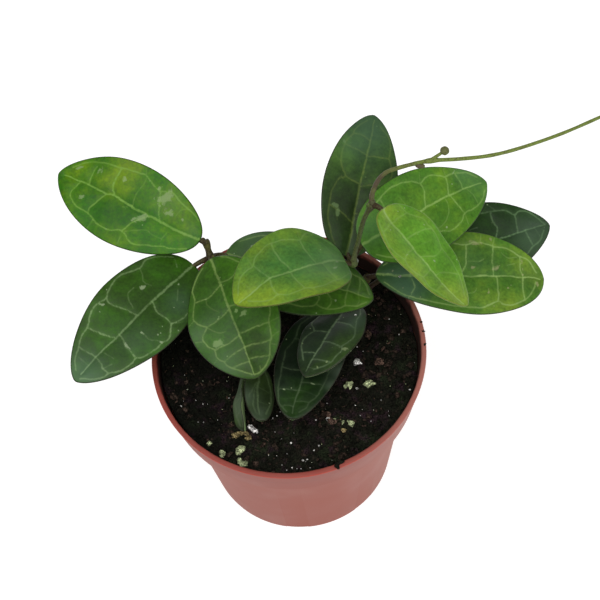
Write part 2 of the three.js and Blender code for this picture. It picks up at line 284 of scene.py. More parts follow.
def add_tube(bm: bmesh.types.BMesh, path: np.ndarray, radii: np.ndarray, sides: int, tones: np.ndarray) -> None:
    """Adds a closed round tube: a circle, extruded from point to point and drawn in at both ends.

    Args:
        bm: the bmesh that takes the tube.
        path: the middle line's points in millimetres.
        radii: the radius at each point, of which the thinnest counts as 0.02.
        sides: the number of sides.
        tones: a number per point for the layer "tone", which the material reads.
    """
    tone = bm.verts.layers.float["tone"]
    along = [Vector(step).normalized() for step in np.gradient(path, axis=0)]
    up = along[0].orthogonal().normalized()
    turn = Matrix((up, along[0].cross(up), along[0])).transposed()
    ring = bmesh.ops.create_circle(bm, cap_ends=False, segments=sides, radius=1.0)["verts"]
    edges = list(dict.fromkeys(edge for vert in ring for edge in vert.link_edges))
    placed = Matrix.Identity(4)
    first = ring
    for number, (middle, radius) in enumerate(zip(path, radii)):
        if number:
            ring, edges = grow_ring(bm, edges)
            turn = along[number - 1].rotation_difference(along[number]).to_matrix() @ turn
        wanted = place_at(middle, turn, [max(float(radius), 0.02)] * 3)
        bmesh.ops.transform(bm, verts=ring, matrix=wanted @ placed.inverted())
        placed = wanted
        for vert in ring:
            vert[tone] = float(tones[number])
    bmesh.ops.pointmerge(bm, verts=first, merge_co=Vector(path[0]) * MM)
    bmesh.ops.pointmerge(bm, verts=ring, merge_co=Vector(path[-1]) * MM)


@dataclass(frozen=True)
class VeinMap:
    """What is drawn on one leaf, in (share, side) places in percent, read one by one.

    The loops are the two bowed veins beside the midrib, the laterals run from it to them, and the twigs
    are the faint ones. A splash is (share, side, length, width, turn): a silvery fleck in millimetres and
    degrees.
    """

    midrib: Line
    loops: tuple[Line, ...]
    laterals: tuple[Line, ...]
    twigs: tuple[Line, ...]
    splashes: tuple[tuple[float, float, float, float, float], ...]


Wash = tuple[float, float, float, float]


@dataclass(frozen=True)
class LeafFinish:
    """Waxy hoya leaf: leathery, satin, one plain green with pale sunken veins and a thin margin, dark with
    painted shade on most leaves.

    Washes are (share, side, reach, strength): soft places of another tone, with the reach in millimetres.
    The deeper washes are partly painted shade, and the sheen washes are painted reflections of the light.
    """

    body: str
    warm: str
    # The deep colour is partly a deeper tissue green and partly painted shade.
    deep: str
    vein: str
    splash: str = "#9DAE86"
    # The painted sheen is a pale grey-green wash that stands for light reflected by the wax, where its washes
    # lie.
    bloom: str = "#74907A"
    # The margin colour lies along the rim: where dark, it is painted shade on the blade's edge; the right front
    # leaf's olive one is its own rim colour.
    margin: str = "#26261A"
    under: str = "#7C9462"
    midrib_strength: float = 0.55
    net_strength: float = 0.42
    gloss: float = 0.42
    patchiness: float = 0.8
    fraying: float = 2.4
    tearing: float = 2.6
    dot_gap: float = 5.0
    warm_washes: tuple[Wash, ...] = ()
    deep_and_shaded_washes: tuple[Wash, ...] = ()
    painted_sheen_washes: tuple[Wash, ...] = ()

    def material(self, name: str) -> bpy.types.Material:
        """Builds the leaf's material: the green with its washes, then what lies on it, layer by layer.

        Args:
            name: the name of the leaf that wears it.

        Returns:
            A material that reads the blade's own numbers and Object coordinates.
        """
        material, add = bare_material(f"waxy hoya leaf {name}")
        place = add("TexCoord", out="Object")
        cloud, patch, mottle, pores = (
            add("TexNoise", {"Vector": place, "Scale": 1 / (size * MM), "Detail": detail})
            for size, detail in ((9, 3), (3.2, 3), (1.1, 5), (0.7, 2))
        )
        colour = linear(self.body)
        for mask, tint in self.washes(add, cloud, patch):
            colour = add("Mix", {0: mask, 6: colour, 7: linear(tint)}, 2, **BLEND)
        both = add("Math", (cloud, mottle), operation="ADD")
        value = add("MapRange", (both, 0.7, 1.3, 0.7, 1.3))
        colour = add("HueSaturation", {"Value": value, "Color": colour})
        flecks = self.flecks(add, place, patch, mottle)
        for mask, tint in self.vein_lines(add, cloud, mottle) + flecks + self.skin(add):
            colour = add("Mix", {0: mask, 6: colour, 7: linear(tint)}, 2, **BLEND)
        rough = add("MapRange", (mottle, 0.3, 0.7, self.gloss - 0.05, self.gloss + 0.08))
        bump = add("Bump", {"Height": pores, "Strength": 0.35, "Distance": 0.12 * MM})
        sheen = {"Roughness": rough, "IOR": 1.45, "Specular IOR Level": 0.22}
        shader = add("BsdfPrincipled", {"Base Color": colour, "Normal": bump, **sheen})
        add("OutputMaterial", (shader,))
        return material

    def washes(self, add: Adder, cloud: Socket, patch: Socket) -> Layers:
        """Finds where the tissue is warmer, and where the leaf is darker than the body green: partly deeper
        tissue, partly painted shade.

        Args:
            add: adds a node to the material.
            cloud: noise of about 9 mm.
            patch: noise of about 3 mm.

        Returns:
            The strength and the colour of both layers.
        """
        warm, deep = (add("Attribute", out="Fac", attribute_name=name) for name in ("warm", "deep"))
        sway = add("Math", (cloud, patch), operation="SUBTRACT")
        warmth = add("Math", (sway, self.patchiness, warm), operation="MULTIPLY_ADD", use_clamp=True)
        both = add("Math", (cloud, patch), operation="ADD")
        uneven = add("Math", (both, self.patchiness, -self.patchiness), operation="MULTIPLY_ADD")
        depth = add("Math", (deep, uneven), operation="ADD", use_clamp=True)
        return [(warmth, self.warm), (depth, self.deep)]

    def vein_lines(self, add: Adder, cloud: Socket, mottle: Socket) -> Layers:
        """Draws the midrib, the loops with their laterals, the twigs and a soft pale glow beside the loops.

        Args:
            add: adds a node to the material.
            cloud: the broad noise that lets the lines come and go.
            mottle: the fine noise that frays them.

        Returns:
            The strength and the colour of each layer.
        """
        wanes = add("MapRange", (cloud, 0.35, 0.65, 0.6, 1.1))
        fray = add("Math", (mottle, 0.5), operation="SUBTRACT")
        ranks = (
            ("midrib", 0.2, 1.5, self.midrib_strength * 1.12),
            ("loop", 0.2, 1.5, self.net_strength * 1.15),
            ("twig", 0.1, 1.6, self.net_strength * 0.6),
            ("loop", 0.0, 6.0, self.net_strength * 0.12),
        )
        layers = []
        for name, full_within, gone_beyond, strength in ranks:
            away = add("Attribute", out="Fac", attribute_name=name)
            frayed = add("Math", (fray, self.fraying, away), operation="MULTIPLY_ADD")
            band = add("MapRange", (frayed, full_within, gone_beyond, strength, 0), **SMOOTH)
            layers.append((add("Math", (band, wanes), operation="MULTIPLY", use_clamp=True), self.vein))
        return layers

    def flecks(self, add: Adder, place: Socket, patch: Socket, mottle: Socket) -> Layers:
        """Adds the silvery flecks, whose rims the noise tears, and pin-point dots here and there.

        Args:
            add: adds a node to the material.
            place: Object coordinates.
            patch: noise of about 3 mm.
            mottle: noise of about 1 mm.

        Returns:
            The strength and the colour of both layers.
        """
        torn = add("Attribute", out="Fac", attribute_name="splash")
        for tear in (patch, mottle):
            torn = add("Math", (tear, self.tearing, torn), operation="MULTIPLY_ADD")
        fleck = add("MapRange", (torn, 3.0, 3.7, 0.55, 0), **SMOOTH)
        away = add("TexVoronoi", {"Vector": place, "Scale": 1 / (self.dot_gap * MM)})
        near = add("MapRange", (away, 0.03, 0.07, 0.55, 0), **SMOOTH)
        picked = add("Math", (away.node.outputs["Color"], 0.45), operation="GREATER_THAN")
        dots = add("Math", (near, picked), operation="MULTIPLY")
        return [(fleck, self.splash), (dots, self.splash)]

    def skin(self, add: Adder) -> Layers:
        """Adds the painted sheen, a pale grey-green that stands for reflected light, the margin, which is
        painted shade where it is dark, and the paler underside.

        Args:
            add: adds a node to the material.

        Returns:
            The strength and the colour of the three layers.
        """
        names = ("bloom", "margin_mm", "face")
        bloom, margin, face = (add("Attribute", out="Fac", attribute_name=name) for name in names)
        # Painted shade along the rim, where the margin colour is dark.
        edge = add("MapRange", (margin, 0.1, 0.5, 0.85, 0), **SMOOTH)
        beneath = add("MapRange", (face, -0.3, 0.3, 0.85, 0))
        return [(bloom, self.bloom), (edge, self.margin), (beneath, self.under)]


@dataclass
class Leaf:
    """One leaf: the joint where it hangs, how it runs, its outline, and what is drawn on it.

    The heading, pitch and roll are degrees at the stalk; sweep and bend are what the leaf turns to the
    side and down by its tip. The half widths of the veins are where a line ends; the reaches are how far
    from a vein its swelling or groove goes. The crowding draws the grid's rows towards the rim, the sways
    are the (width, height) of the veins' waves, and other pairs are (share, value).
    """

    node: str
    slot: Slot
    knot: Point
    base: Point
    heading: float
    sweep: float
    pitch: float
    bend: float
    roll: float
    length: float
    width: float
    widest: float
    veins: VeinMap
    finish: LeafFinish
    tip: float = 0.62
    fold: float = 8.0
    sways: Line = ((4.0, 0.35), (1.6, 0.175))
    cell: float = 0.42
    side_crowding: Line = ((0, 0), (0.86, 0.94), (1, 1))
    share_crowding: Line = ((0, 0), (0.03, 0.003), (0.1, 0.04), (0.9, 0.955), (0.97, 0.996), (1, 1))
    rim_points: int = 240
    thick: float = 1.3
    thin: float = 0.75
    margin_round: float = 0.7
    crease_round: float = 0.1
    plain_margin: float = 1.5
    pillow: float = 0.2
    pillow_reach: float = 2.4
    midrib_groove: float = 0.14
    midrib_reach: float = 0.8
    loop_groove: float = 0.07
    loop_reach: float = 0.6
    rib: Line = ((0, 0.75), (0.25, 0.42), (1, 0.12))
    rib_reach: float = 0.85
    midrib_half: Line = ((0, 0.55), (0.5, 0.42), (1, 0.26))
    loop_half: float = 0.32
    twig_half: float = 0.26
    droop: float = 0.05
    ripple: float = 0.35
    ripples: float = 2.5
    stalk_radius: float = 0.95
    stalk_shape: Line = ((0, 0.6), (0.06, 1.35), (0.25, 1.08), (0.6, 0.95), (0.85, 0.45), (1, 0.1))
    stalk_sag: float = 0.4
    stalk_run: float = 5.5
    stalk_depth: float = 1.1
    stalk_parts: int = 26
    stalk_sides: int = 14
    stalk_fresh: float = 1.0

    def direction(self, share: np.ndarray) -> np.ndarray:
        """Finds which way the leaf runs.

        Args:
            share: shares of the length.

        Returns:
            A unit row for each.
        """
        turn = np.radians(self.heading + self.sweep * share)
        rise = np.radians(self.pitch - self.bend * share)
        return np.stack([np.cos(rise) * np.cos(turn), np.cos(rise) * np.sin(turn), np.sin(rise)], -1)

    def spine(self, share: np.ndarray) -> tuple[np.ndarray, np.ndarray, np.ndarray, np.ndarray]:
        """Finds the middle line and its frame.

        Args:
            share: shares of the length.

        Returns:
            The middle points, and the unit rows along, across and up.
        """
        steps = 32
        centres = (np.arange(steps) + 0.5) / steps * share[:, None]
        middle = np.array(self.base) + self.direction(centres).sum(1) * (share * self.length / steps)[:, None]
        along = self.direction(share)
        left = np.cross([0.0, 0.0, 1.0], along)
        left /= np.linalg.norm(left, axis=1)[:, None]
        lean = math.radians(self.roll)
        across = left * math.cos(lean) + np.cross(along, left) * math.sin(lean)
        return middle, along, across, np.cross(along, across)

    def half_width(self, share: np.ndarray) -> np.ndarray:
        """Half the blade's width in millimetres at each share."""
        bow = np.abs(np.sin(np.pi * np.clip(share, 0, 1) ** self.widest))
        return self.width / 2 * bow ** (0.5 + (self.tip - 0.5) * share)

    def flat(self, share: float | np.ndarray, side: float | np.ndarray) -> np.ndarray:
        """Lays places on the leaf flat, in millimetres."""
        return np.stack([side * self.half_width(share), share * self.length], -1)

    def drawn(self, line: Line) -> np.ndarray:
        """Lays one vein flat, in millimetres, wandering a little in the same way as its neighbours.

        Args:
            line: the vein's (share, side) places.

        Returns:
            The points of the line.
        """
        places = self.flat(*(smooth_line(line) / 100).T)
        for place in places:
            for wide, tall in self.sways:
                sway = noise.noise_vector(Vector((place[0] / wide, place[1] / wide, self.length)))
                place += np.array(sway[:2]) * tall
        return places

    def nearest(self, flat: np.ndarray, lines: tuple[Line, ...]) -> np.ndarray:
        """Measures how far flat places lie from the nearest of some veins.

        Args:
            flat: the places.
            lines: the veins' (share, side) places.

        Returns:
            One distance per place.
        """
        return np.min([distance_to(flat, self.drawn(line)) for line in lines], axis=0)

    def build(self, bark: bpy.types.Material) -> None:
        """Makes the blade and its stalk and lets both stand for the CAD leaf.

        Args:
            bark: the stalk's finish.
        """
        name = self.node.removeprefix("leaf_")
        as_piece(self.blade_mesh("blade_" + name), self.finish.material(name), (self.node,))
        as_piece(self.stalk_mesh("stalk_" + name), bark, (self.node,))

    def blade_mesh(self, name: str) -> bpy.types.Mesh:
        """Makes the blade as a fine closed shell: two square grids, bent into the leaf and joined at the rim.

        Args:
            name: the mesh's name.

        Returns:
            The mesh.
        """
        bm = bmesh.new()
        columns = 2 * round(self.width / self.cell / 2)
        rows = round(self.length / self.cell)
        bmesh.ops.create_grid(bm, x_segments=columns, y_segments=rows, size=1.0)
        bmesh.ops.translate(bm, verts=bm.verts[:], vec=(0, 0, 1))
        under = bmesh.ops.duplicate(bm, geom=bm.verts[:] + bm.edges[:] + bm.faces[:])["geom"]
        bmesh.ops.translate(bm, verts=[v for v in under if isinstance(v, bmesh.types.BMVert)], vec=(0, 0, -2))
        bmesh.ops.reverse_faces(bm, faces=[f for f in bm.faces if f.calc_center_median().z > 0])
        mesh = new_mesh(name, bm)
        across, along, face = np.array([vertex.co for vertex in mesh.vertices]).T
        side = np.sign(across) * np.interp(np.abs(across), *zip(*self.side_crowding))
        share = np.interp((along + 1) / 2, *zip(*self.share_crowding))
        shaped = self.shape(mesh, share, side, face) * MM
        mesh.vertices.foreach_set("co", shaped.astype(np.float32).ravel())
        bm = bmesh.new()
        bm.from_mesh(mesh)
        bmesh.ops.remove_doubles(bm, verts=bm.verts[:], dist=0.004 * MM)
        bm.to_mesh(mesh)
        bm.free()
        return mesh

    def shape(self, mesh: bpy.types.Mesh, share: np.ndarray, side: np.ndarray, face: np.ndarray) -> np.ndarray:
        """Bends the flat shell into the leaf and notes what its material reads.

        Args:
            mesh: the blade's mesh, which takes the numbers.
            share: each vertex's share of the length.
            side: each vertex's side.
            face: 1 on the upper skin and -1 on the lower.

        Returns:
            Each vertex's place in millimetres.
        """
        flat, places = np.unique(self.flat(share, side), axis=0, return_inverse=True)
        places = places.ravel()
        rim = self.flat(np.linspace(0, 1, self.rim_points), np.ones(self.rim_points))
        margin = distance_to(flat, np.vstack([rim, rim[::-1] * (-1, 1)]))[places]
        midrib = self.nearest(flat, (self.veins.midrib,))[places]
        loop = self.nearest(flat, self.veins.loops + self.veins.laterals)[places]
        twig = self.nearest(flat, self.veins.twigs)[places] if self.veins.twigs else np.full(len(share), FAR)
        numbers = {
            "midrib": midrib / np.interp(share, *zip(*self.midrib_half)),
            "loop": loop / self.loop_half,
            "twig": twig / self.twig_half,
            "splash": self.splash_field(flat)[places],
            "margin_mm": margin,
            "face": face,
            "warm": self.wash(flat, self.finish.warm_washes)[places],
            "deep": self.wash(flat, self.finish.deep_and_shaded_washes)[places],
            "bloom": self.wash(flat, self.finish.painted_sheen_washes)[places],
        }
        for name, values in numbers.items():
            layer = mesh.attributes.new(name, "FLOAT", "POINT")
            layer.data.foreach_set("value", values.astype(np.float32))

        pillow = self.pillow * (0.5 - np.exp(-((np.minimum(midrib, loop) / self.pillow_reach) ** 2)))
        grooves = self.midrib_groove * np.exp(-((midrib / self.midrib_reach) ** 2))
        grooves += self.loop_groove * np.exp(-((loop / self.loop_reach) ** 2))
        rib = np.interp(share, *zip(*self.rib)) * np.exp(-((midrib / self.rib_reach) ** 2))
        relief = (pillow - np.where(face > 0, grooves, rib)) * (1 - np.exp(-margin / self.plain_margin))

        rows, back = np.unique(share, return_inverse=True)
        middle, _, across, up = (values[back] for values in self.spine(rows))
        half = self.half_width(share)
        line = smooth_line(self.veins.midrib) / 100
        crease = np.interp(share, line[:, 0], line[:, 1]) * np.clip(share * 6, 0, 1)
        slope = math.radians(self.fold)
        vee = np.hypot(side - crease, self.crease_round) - self.crease_round
        ripple = self.ripple * np.sin(2 * np.pi * self.ripples * share + 2 * side + self.length)
        rise = half * (vee * math.tan(slope) - self.droop * side**2) + ripple * side**2
        full = self.thick - (self.thick - self.thin) * side**2
        skin = full * np.sqrt(1 - np.clip(1 - margin / self.margin_round, 0, 1) ** 2)
        out = middle + across * (half * side * math.cos(slope))[:, None]
        return out + up * (rise + relief + face * skin / 2)[:, None]

    def splash_field(self, flat: np.ndarray) -> np.ndarray:
        """Measures how far flat places lie from the nearest fleck, where 1 is the fleck's rim.

        Args:
            flat: the places.

        Returns:
            One number per place.
        """
        nearest = np.full(len(flat), FAR)
        for share, side, length, width, turn in self.veins.splashes:
            x, y = (flat - self.flat(share / 100, side / 100)).T
            cos, sin = math.cos(math.radians(turn)), math.sin(math.radians(turn))
            away = np.hypot((x * cos + y * sin) / length, (x * sin - y * cos) / width) * 2
            nearest = np.minimum(nearest, away)
        return nearest

    def wash(self, flat: np.ndarray, washes: tuple[Wash, ...]) -> np.ndarray:
        """Adds up soft round washes.

        Args:
            flat: the flat places of the vertices.
            washes: (share, side, reach in millimetres, strength) of each.

        Returns:
            The wash's strength at each place, from 0 to 1.
        """
        total = np.zeros(len(flat))
        for share, side, reach, strength in washes:
            away = np.linalg.norm(flat - self.flat(share / 100, side / 100), axis=1) / reach
            total += strength * np.exp(-(away**2))
        return np.clip(total, 0, 1)

    def stalk_mesh(self, name: str) -> bpy.types.Mesh:
        """Makes the short thick stalk, which runs from the joint into the underside of the midrib.

        Args:
            name: the mesh's name.

        Returns:
            The mesh.
        """
        start, base = np.array(self.knot), np.array(self.base)
        _, along, _, up = (rows[0] for rows in self.spine(np.array([0.0])))
        bend = base - along * self.stalk_sag * np.linalg.norm(base - start)
        end = base + along * self.stalk_run - up * self.stalk_depth
        t = np.linspace(0, 1, self.stalk_parts)
        path = np.outer((1 - t) ** 2, start) + np.outer(2 * t * (1 - t), bend) + np.outer(t**2, end)
        radii = self.stalk_radius * np.interp(t, *zip(*self.stalk_shape))
        bm = tone_bmesh()
        add_tube(bm, path, radii, self.stalk_sides, t * self.stalk_fresh)
        return new_mesh(name, bm)


@dataclass(frozen=True)
class StemFinish:
    """Young woody stem skin: satin, green where it is fresh and brown bark where it is old, finely streaked.

    Tone 0 shows the old colour and tone 1 the fresh one.
    """

    old: str
    fresh: str
    streak: str
    gloss: float = 0.5

    def material(self, name: str) -> bpy.types.Material:
        """Builds the stem's material.

        Args:
            name: what the real surface is.

        Returns:
            A material that reads the tube's tone and Object coordinates.
        """
        material, add = bare_material(name)
        place = add("TexCoord", out="Object")
        patches, fine = (
            add("TexNoise", {"Vector": place, "Scale": 1 / (size * MM), "Detail": detail})
            for size, detail in ((4, 3), (0.6, 4))
        )
        patchy = add("Math", (patches, 0.5), operation="SUBTRACT")
        tone = add("Attribute", out="Fac", attribute_name="tone")
        freshness = add("Math", (patchy, 1.6, tone), operation="MULTIPLY_ADD", use_clamp=True)
        streaks = add("MapRange", (fine, 0.48, 0.68, 0, 0.75), **SMOOTH)
        colour = linear(self.old)
        for mask, tint in ((freshness, self.fresh), (streaks, self.streak)):
            colour = add("Mix", {0: mask, 6: colour, 7: linear(tint)}, 2, **BLEND)
        bump = add("Bump", {"Height": fine, "Strength": 0.6, "Distance": 0.15 * MM})
        sheen = {"Roughness": self.gloss, "IOR": 1.45, "Specular IOR Level": 0.2}
        shader = add("BsdfPrincipled", {"Base Color": colour, "Normal": bump, **sheen})
        add("OutputMaterial", (shader,))
        return material


STALK_FINISH = StemFinish(old="#332219", fresh="#50502A", streak="#1C120C")
BROWN_FINISH = StemFinish(old="#2B1E17", fresh="#6A6A34", streak="#160E0A")
GREEN_FINISH = StemFinish(old="#463A30", fresh="#4E5E2E", streak="#2C2A18")
VINE_FINISH = StemFinish(old="#54493A", fresh="#6E7E3A", streak="#4A4A26")


@dataclass(frozen=True)
class Swelling:
    """A thicker place on a stem: its middle, its radius there and how far it reaches along the stem."""

    at: Point
    radius: float
    reach: float


@dataclass(frozen=True)
class Bud:
    """A small bud or scar on a stem: its middle, its three half sizes, its turn in degrees and its tone."""

    at: Point
    size: Point
    turn: float
    tone: float


@dataclass
class Stem:
    """One rooted stem with its swollen joints and buds.

    The radii and tones are (share, value) pairs, the waver is how far the radius comes and goes, and the
    bud's skin is the width and height of its waves.
    """

    name: str
    node: str
    slot: Slot
    finish: StemFinish
    route: tuple[Point, ...]
    radii: Line
    tones: Line
    swellings: tuple[Swelling, ...] = ()
    buds: tuple[Bud, ...] = ()
    sides: int = 16
    step_parts: int = 9
    end_share: float = 0.3
    waver: float = 0.05
    bud_skin: Spot = (0.6, 0.12)

    def build(self) -> None:
        """Makes the stem with its buds as one piece and lets it stand for its CAD node."""
        path = smooth_line(self.route, self.step_parts)
        share = np.linspace(0, 1, len(path))
        plain = np.interp(share, *zip(*self.radii))
        radii = plain.copy()
        for knob in self.swellings:
            away = np.linalg.norm(path - np.array(knob.at), axis=1) / knob.reach
            radii = np.maximum(radii, plain + (knob.radius - plain) * np.exp(-(away**2)))
        radii *= 1 + self.waver * np.sin(share * len(path) * 0.9) * np.sin(share * 17)
        radii[[0, -1]] *= self.end_share
        bm = tone_bmesh()
        add_tube(bm, path, radii, self.sides, np.interp(share, *zip(*self.tones)))
        for bud in self.buds:
            self.add_bud(bm, bud)
        material = self.finish.material(f"stem skin {self.name}")
        as_piece(new_mesh(self.name, bm), material, (self.node,))

    def add_bud(self, bm: bmesh.types.BMesh, bud: Bud) -> None:
        """Adds one bud as a squeezed ball with an uneven skin.

        Args:
            bm: the bmesh that takes it.
            bud: its place, size, turn and tone.
        """
        tone = bm.verts.layers.float["tone"]
        wide, tall = self.bud_skin
        matrix = place_at(bud.at, Matrix.Rotation(math.radians(bud.turn), 3, "Z"), bud.size)
        for vert in bmesh.ops.create_icosphere(bm, subdivisions=3, radius=1.0, matrix=matrix)["verts"]:
            vert.co += vert.normal * (noise.noise(vert.co / (wide * MM)) * tall * MM)
            vert[tone] = bud.tone


@dataclass(frozen=True)
class PeatFinish:
    """Moist dark peat: matt, near black, with brown lumps, white perlite and greenish bits."""

    black: str = "#15160F"
    brown: str = "#231E18"
    mossy: str = "#202718"
    plum: str = "#2F1F27"
    bark: str = "#57443B"
    husk: str = "#8C7C55"
    greenish: str = "#AFB98C"
    perlite: str = "#ECE9E4"
    # The value that the painted shade leaves on the peat at -X.
    painted_shade_value: float = 0.45

    def material(self) -> bpy.types.Material:
        """Builds the peat, darkened towards -X by painted shade.

        Returns:
            A material that reads each bit's tone and Object coordinates.
        """
        material, add = bare_material("moist peat")
        place = add("TexCoord", out="Object")
        lumps, mossy, plum, facets, fine = (
            add("TexNoise", {"Vector": place, "Scale": 1 / (size * MM), "Detail": detail})
            for size, detail in ((2.2, 6), (7, 5), (5, 5), (1.3, 3), (0.5, 4))
        )
        ground = linear(self.black)
        stains = (
            (lumps, 0.5, 0.75, 1, self.brown),
            (mossy, 0.52, 0.68, 0.7, self.mossy),
            (plum, 0.52, 0.68, 0.7, self.plum),
        )
        for spread, low, high, most, tint in stains:
            mask = add("MapRange", (spread, low, high, 0, most), **SMOOTH)
            ground = add("Mix", {0: mask, 6: ground, 7: linear(tint)}, 2, **BLEND)
        tone = add("Attribute", out="Fac", attribute_name="tone")
        kinds = add("ValToRGB", (tone,))
        stops = kinds.node.color_ramp.elements
        stops[0].color = linear(self.brown)
        stops[1].color = linear(self.perlite)
        for kind, code in ((Grain.BARK, self.bark), (Grain.HUSK, self.husk), (Grain.GREENISH, self.greenish)):
            stops.new(kind.value).color = linear(code)
        uneven = add("MapRange", (facets, 0.36, 0.62, 0.35, 1.25))
        grains = add("HueSaturation", {"Value": uneven, "Color": kinds})
        loose = add("MapRange", (tone, 0.02, 0.1, 0, 1))
        colour = add("Mix", {0: loose, 6: ground, 7: grains}, 2, **BLEND)
        value = add("MapRange", (fine, 0.36, 0.66, 0.15, 1.8))
        east = add("SeparateXYZ", (place,), "X")
        # Painted shade: the peat grows darker towards -X.
        painted_shade = add("MapRange", (east, -45 * MM, -5 * MM, self.painted_shade_value, 1), **SMOOTH)
        shade = add("Math", (value, painted_shade), operation="MULTIPLY")
        dulled = add("Mix", {0: loose, 2: shade, 3: value}, data_type="FLOAT")
        colour = add("HueSaturation", {"Value": dulled, "Color": colour})
        bump = add("Bump", {"Height": fine, "Strength": 0.8, "Distance": 0.4 * MM})
        sheen = {"Roughness": 0.82, "IOR": 1.4, "Specular IOR Level": 0.1}
        shader = add("BsdfPrincipled", {"Base Color": colour, "Normal": bump, **sheen})
        add("OutputMaterial", (shader,))
        return material


@dataclass(frozen=True)
class Camera:
    """The photo's camera in millimetres, found from the ellipses of the pot's rim and foot."""

    place: Point = (6.61, -277.74, 606.64)
    target: Point = (6.61, 21.35, 86.5)
    roll: float = -6.66
    focal_pixels: float = 1548.7
    sensor: float = 36.0

    def axes(self) -> tuple[Vector, Vector, Vector]:
        """Finds how the camera stands.

        Returns:
            Its right, up and backward unit vectors.
        """
        back = (Vector(self.place) - Vector(self.target)).normalized()
        right = Vector((0, 0, 1)).cross(back).normalized()
        up = back.cross(right)
        across, along = math.cos(math.radians(self.roll)), math.sin(math.radians(self.roll))
        return right * across + up * along, up * across - right * along, back

    def on_level(self, pixel: Spot, height: float) -> Vector:
        """Finds what a pixel of the photo shows at a height.

        Args:
            pixel: the pixel, counted from the top left corner.
            height: the height in millimetres.

        Returns:
            The place in millimetres.
        """
        right, up, back = self.axes()
        middle = PHOTO_SIDE / 2
        ray = right * (pixel[0] - middle) - up * (pixel[1] - middle) - back * self.focal_pixels
        place = Vector(self.place)
        return place + ray * ((height - place.z) / ray.z)

    def build(self) -> None:
        """Sets the scene's camera."""
        data = bpy.data.cameras.new("camera")
        data.sensor_width = self.sensor
        data.sensor_fit = "HORIZONTAL"
        data.lens = self.focal_pixels * self.sensor / PHOTO_SIDE
        data.clip_start = 0.01
        data.dof.use_dof = False
        camera = new_object("camera", data)
        turn = Matrix(self.axes()).transposed().to_4x4()
        camera.matrix_world = Matrix.Translation(Vector(self.place) * MM) @ turn
        bpy.context.scene.camera = camera


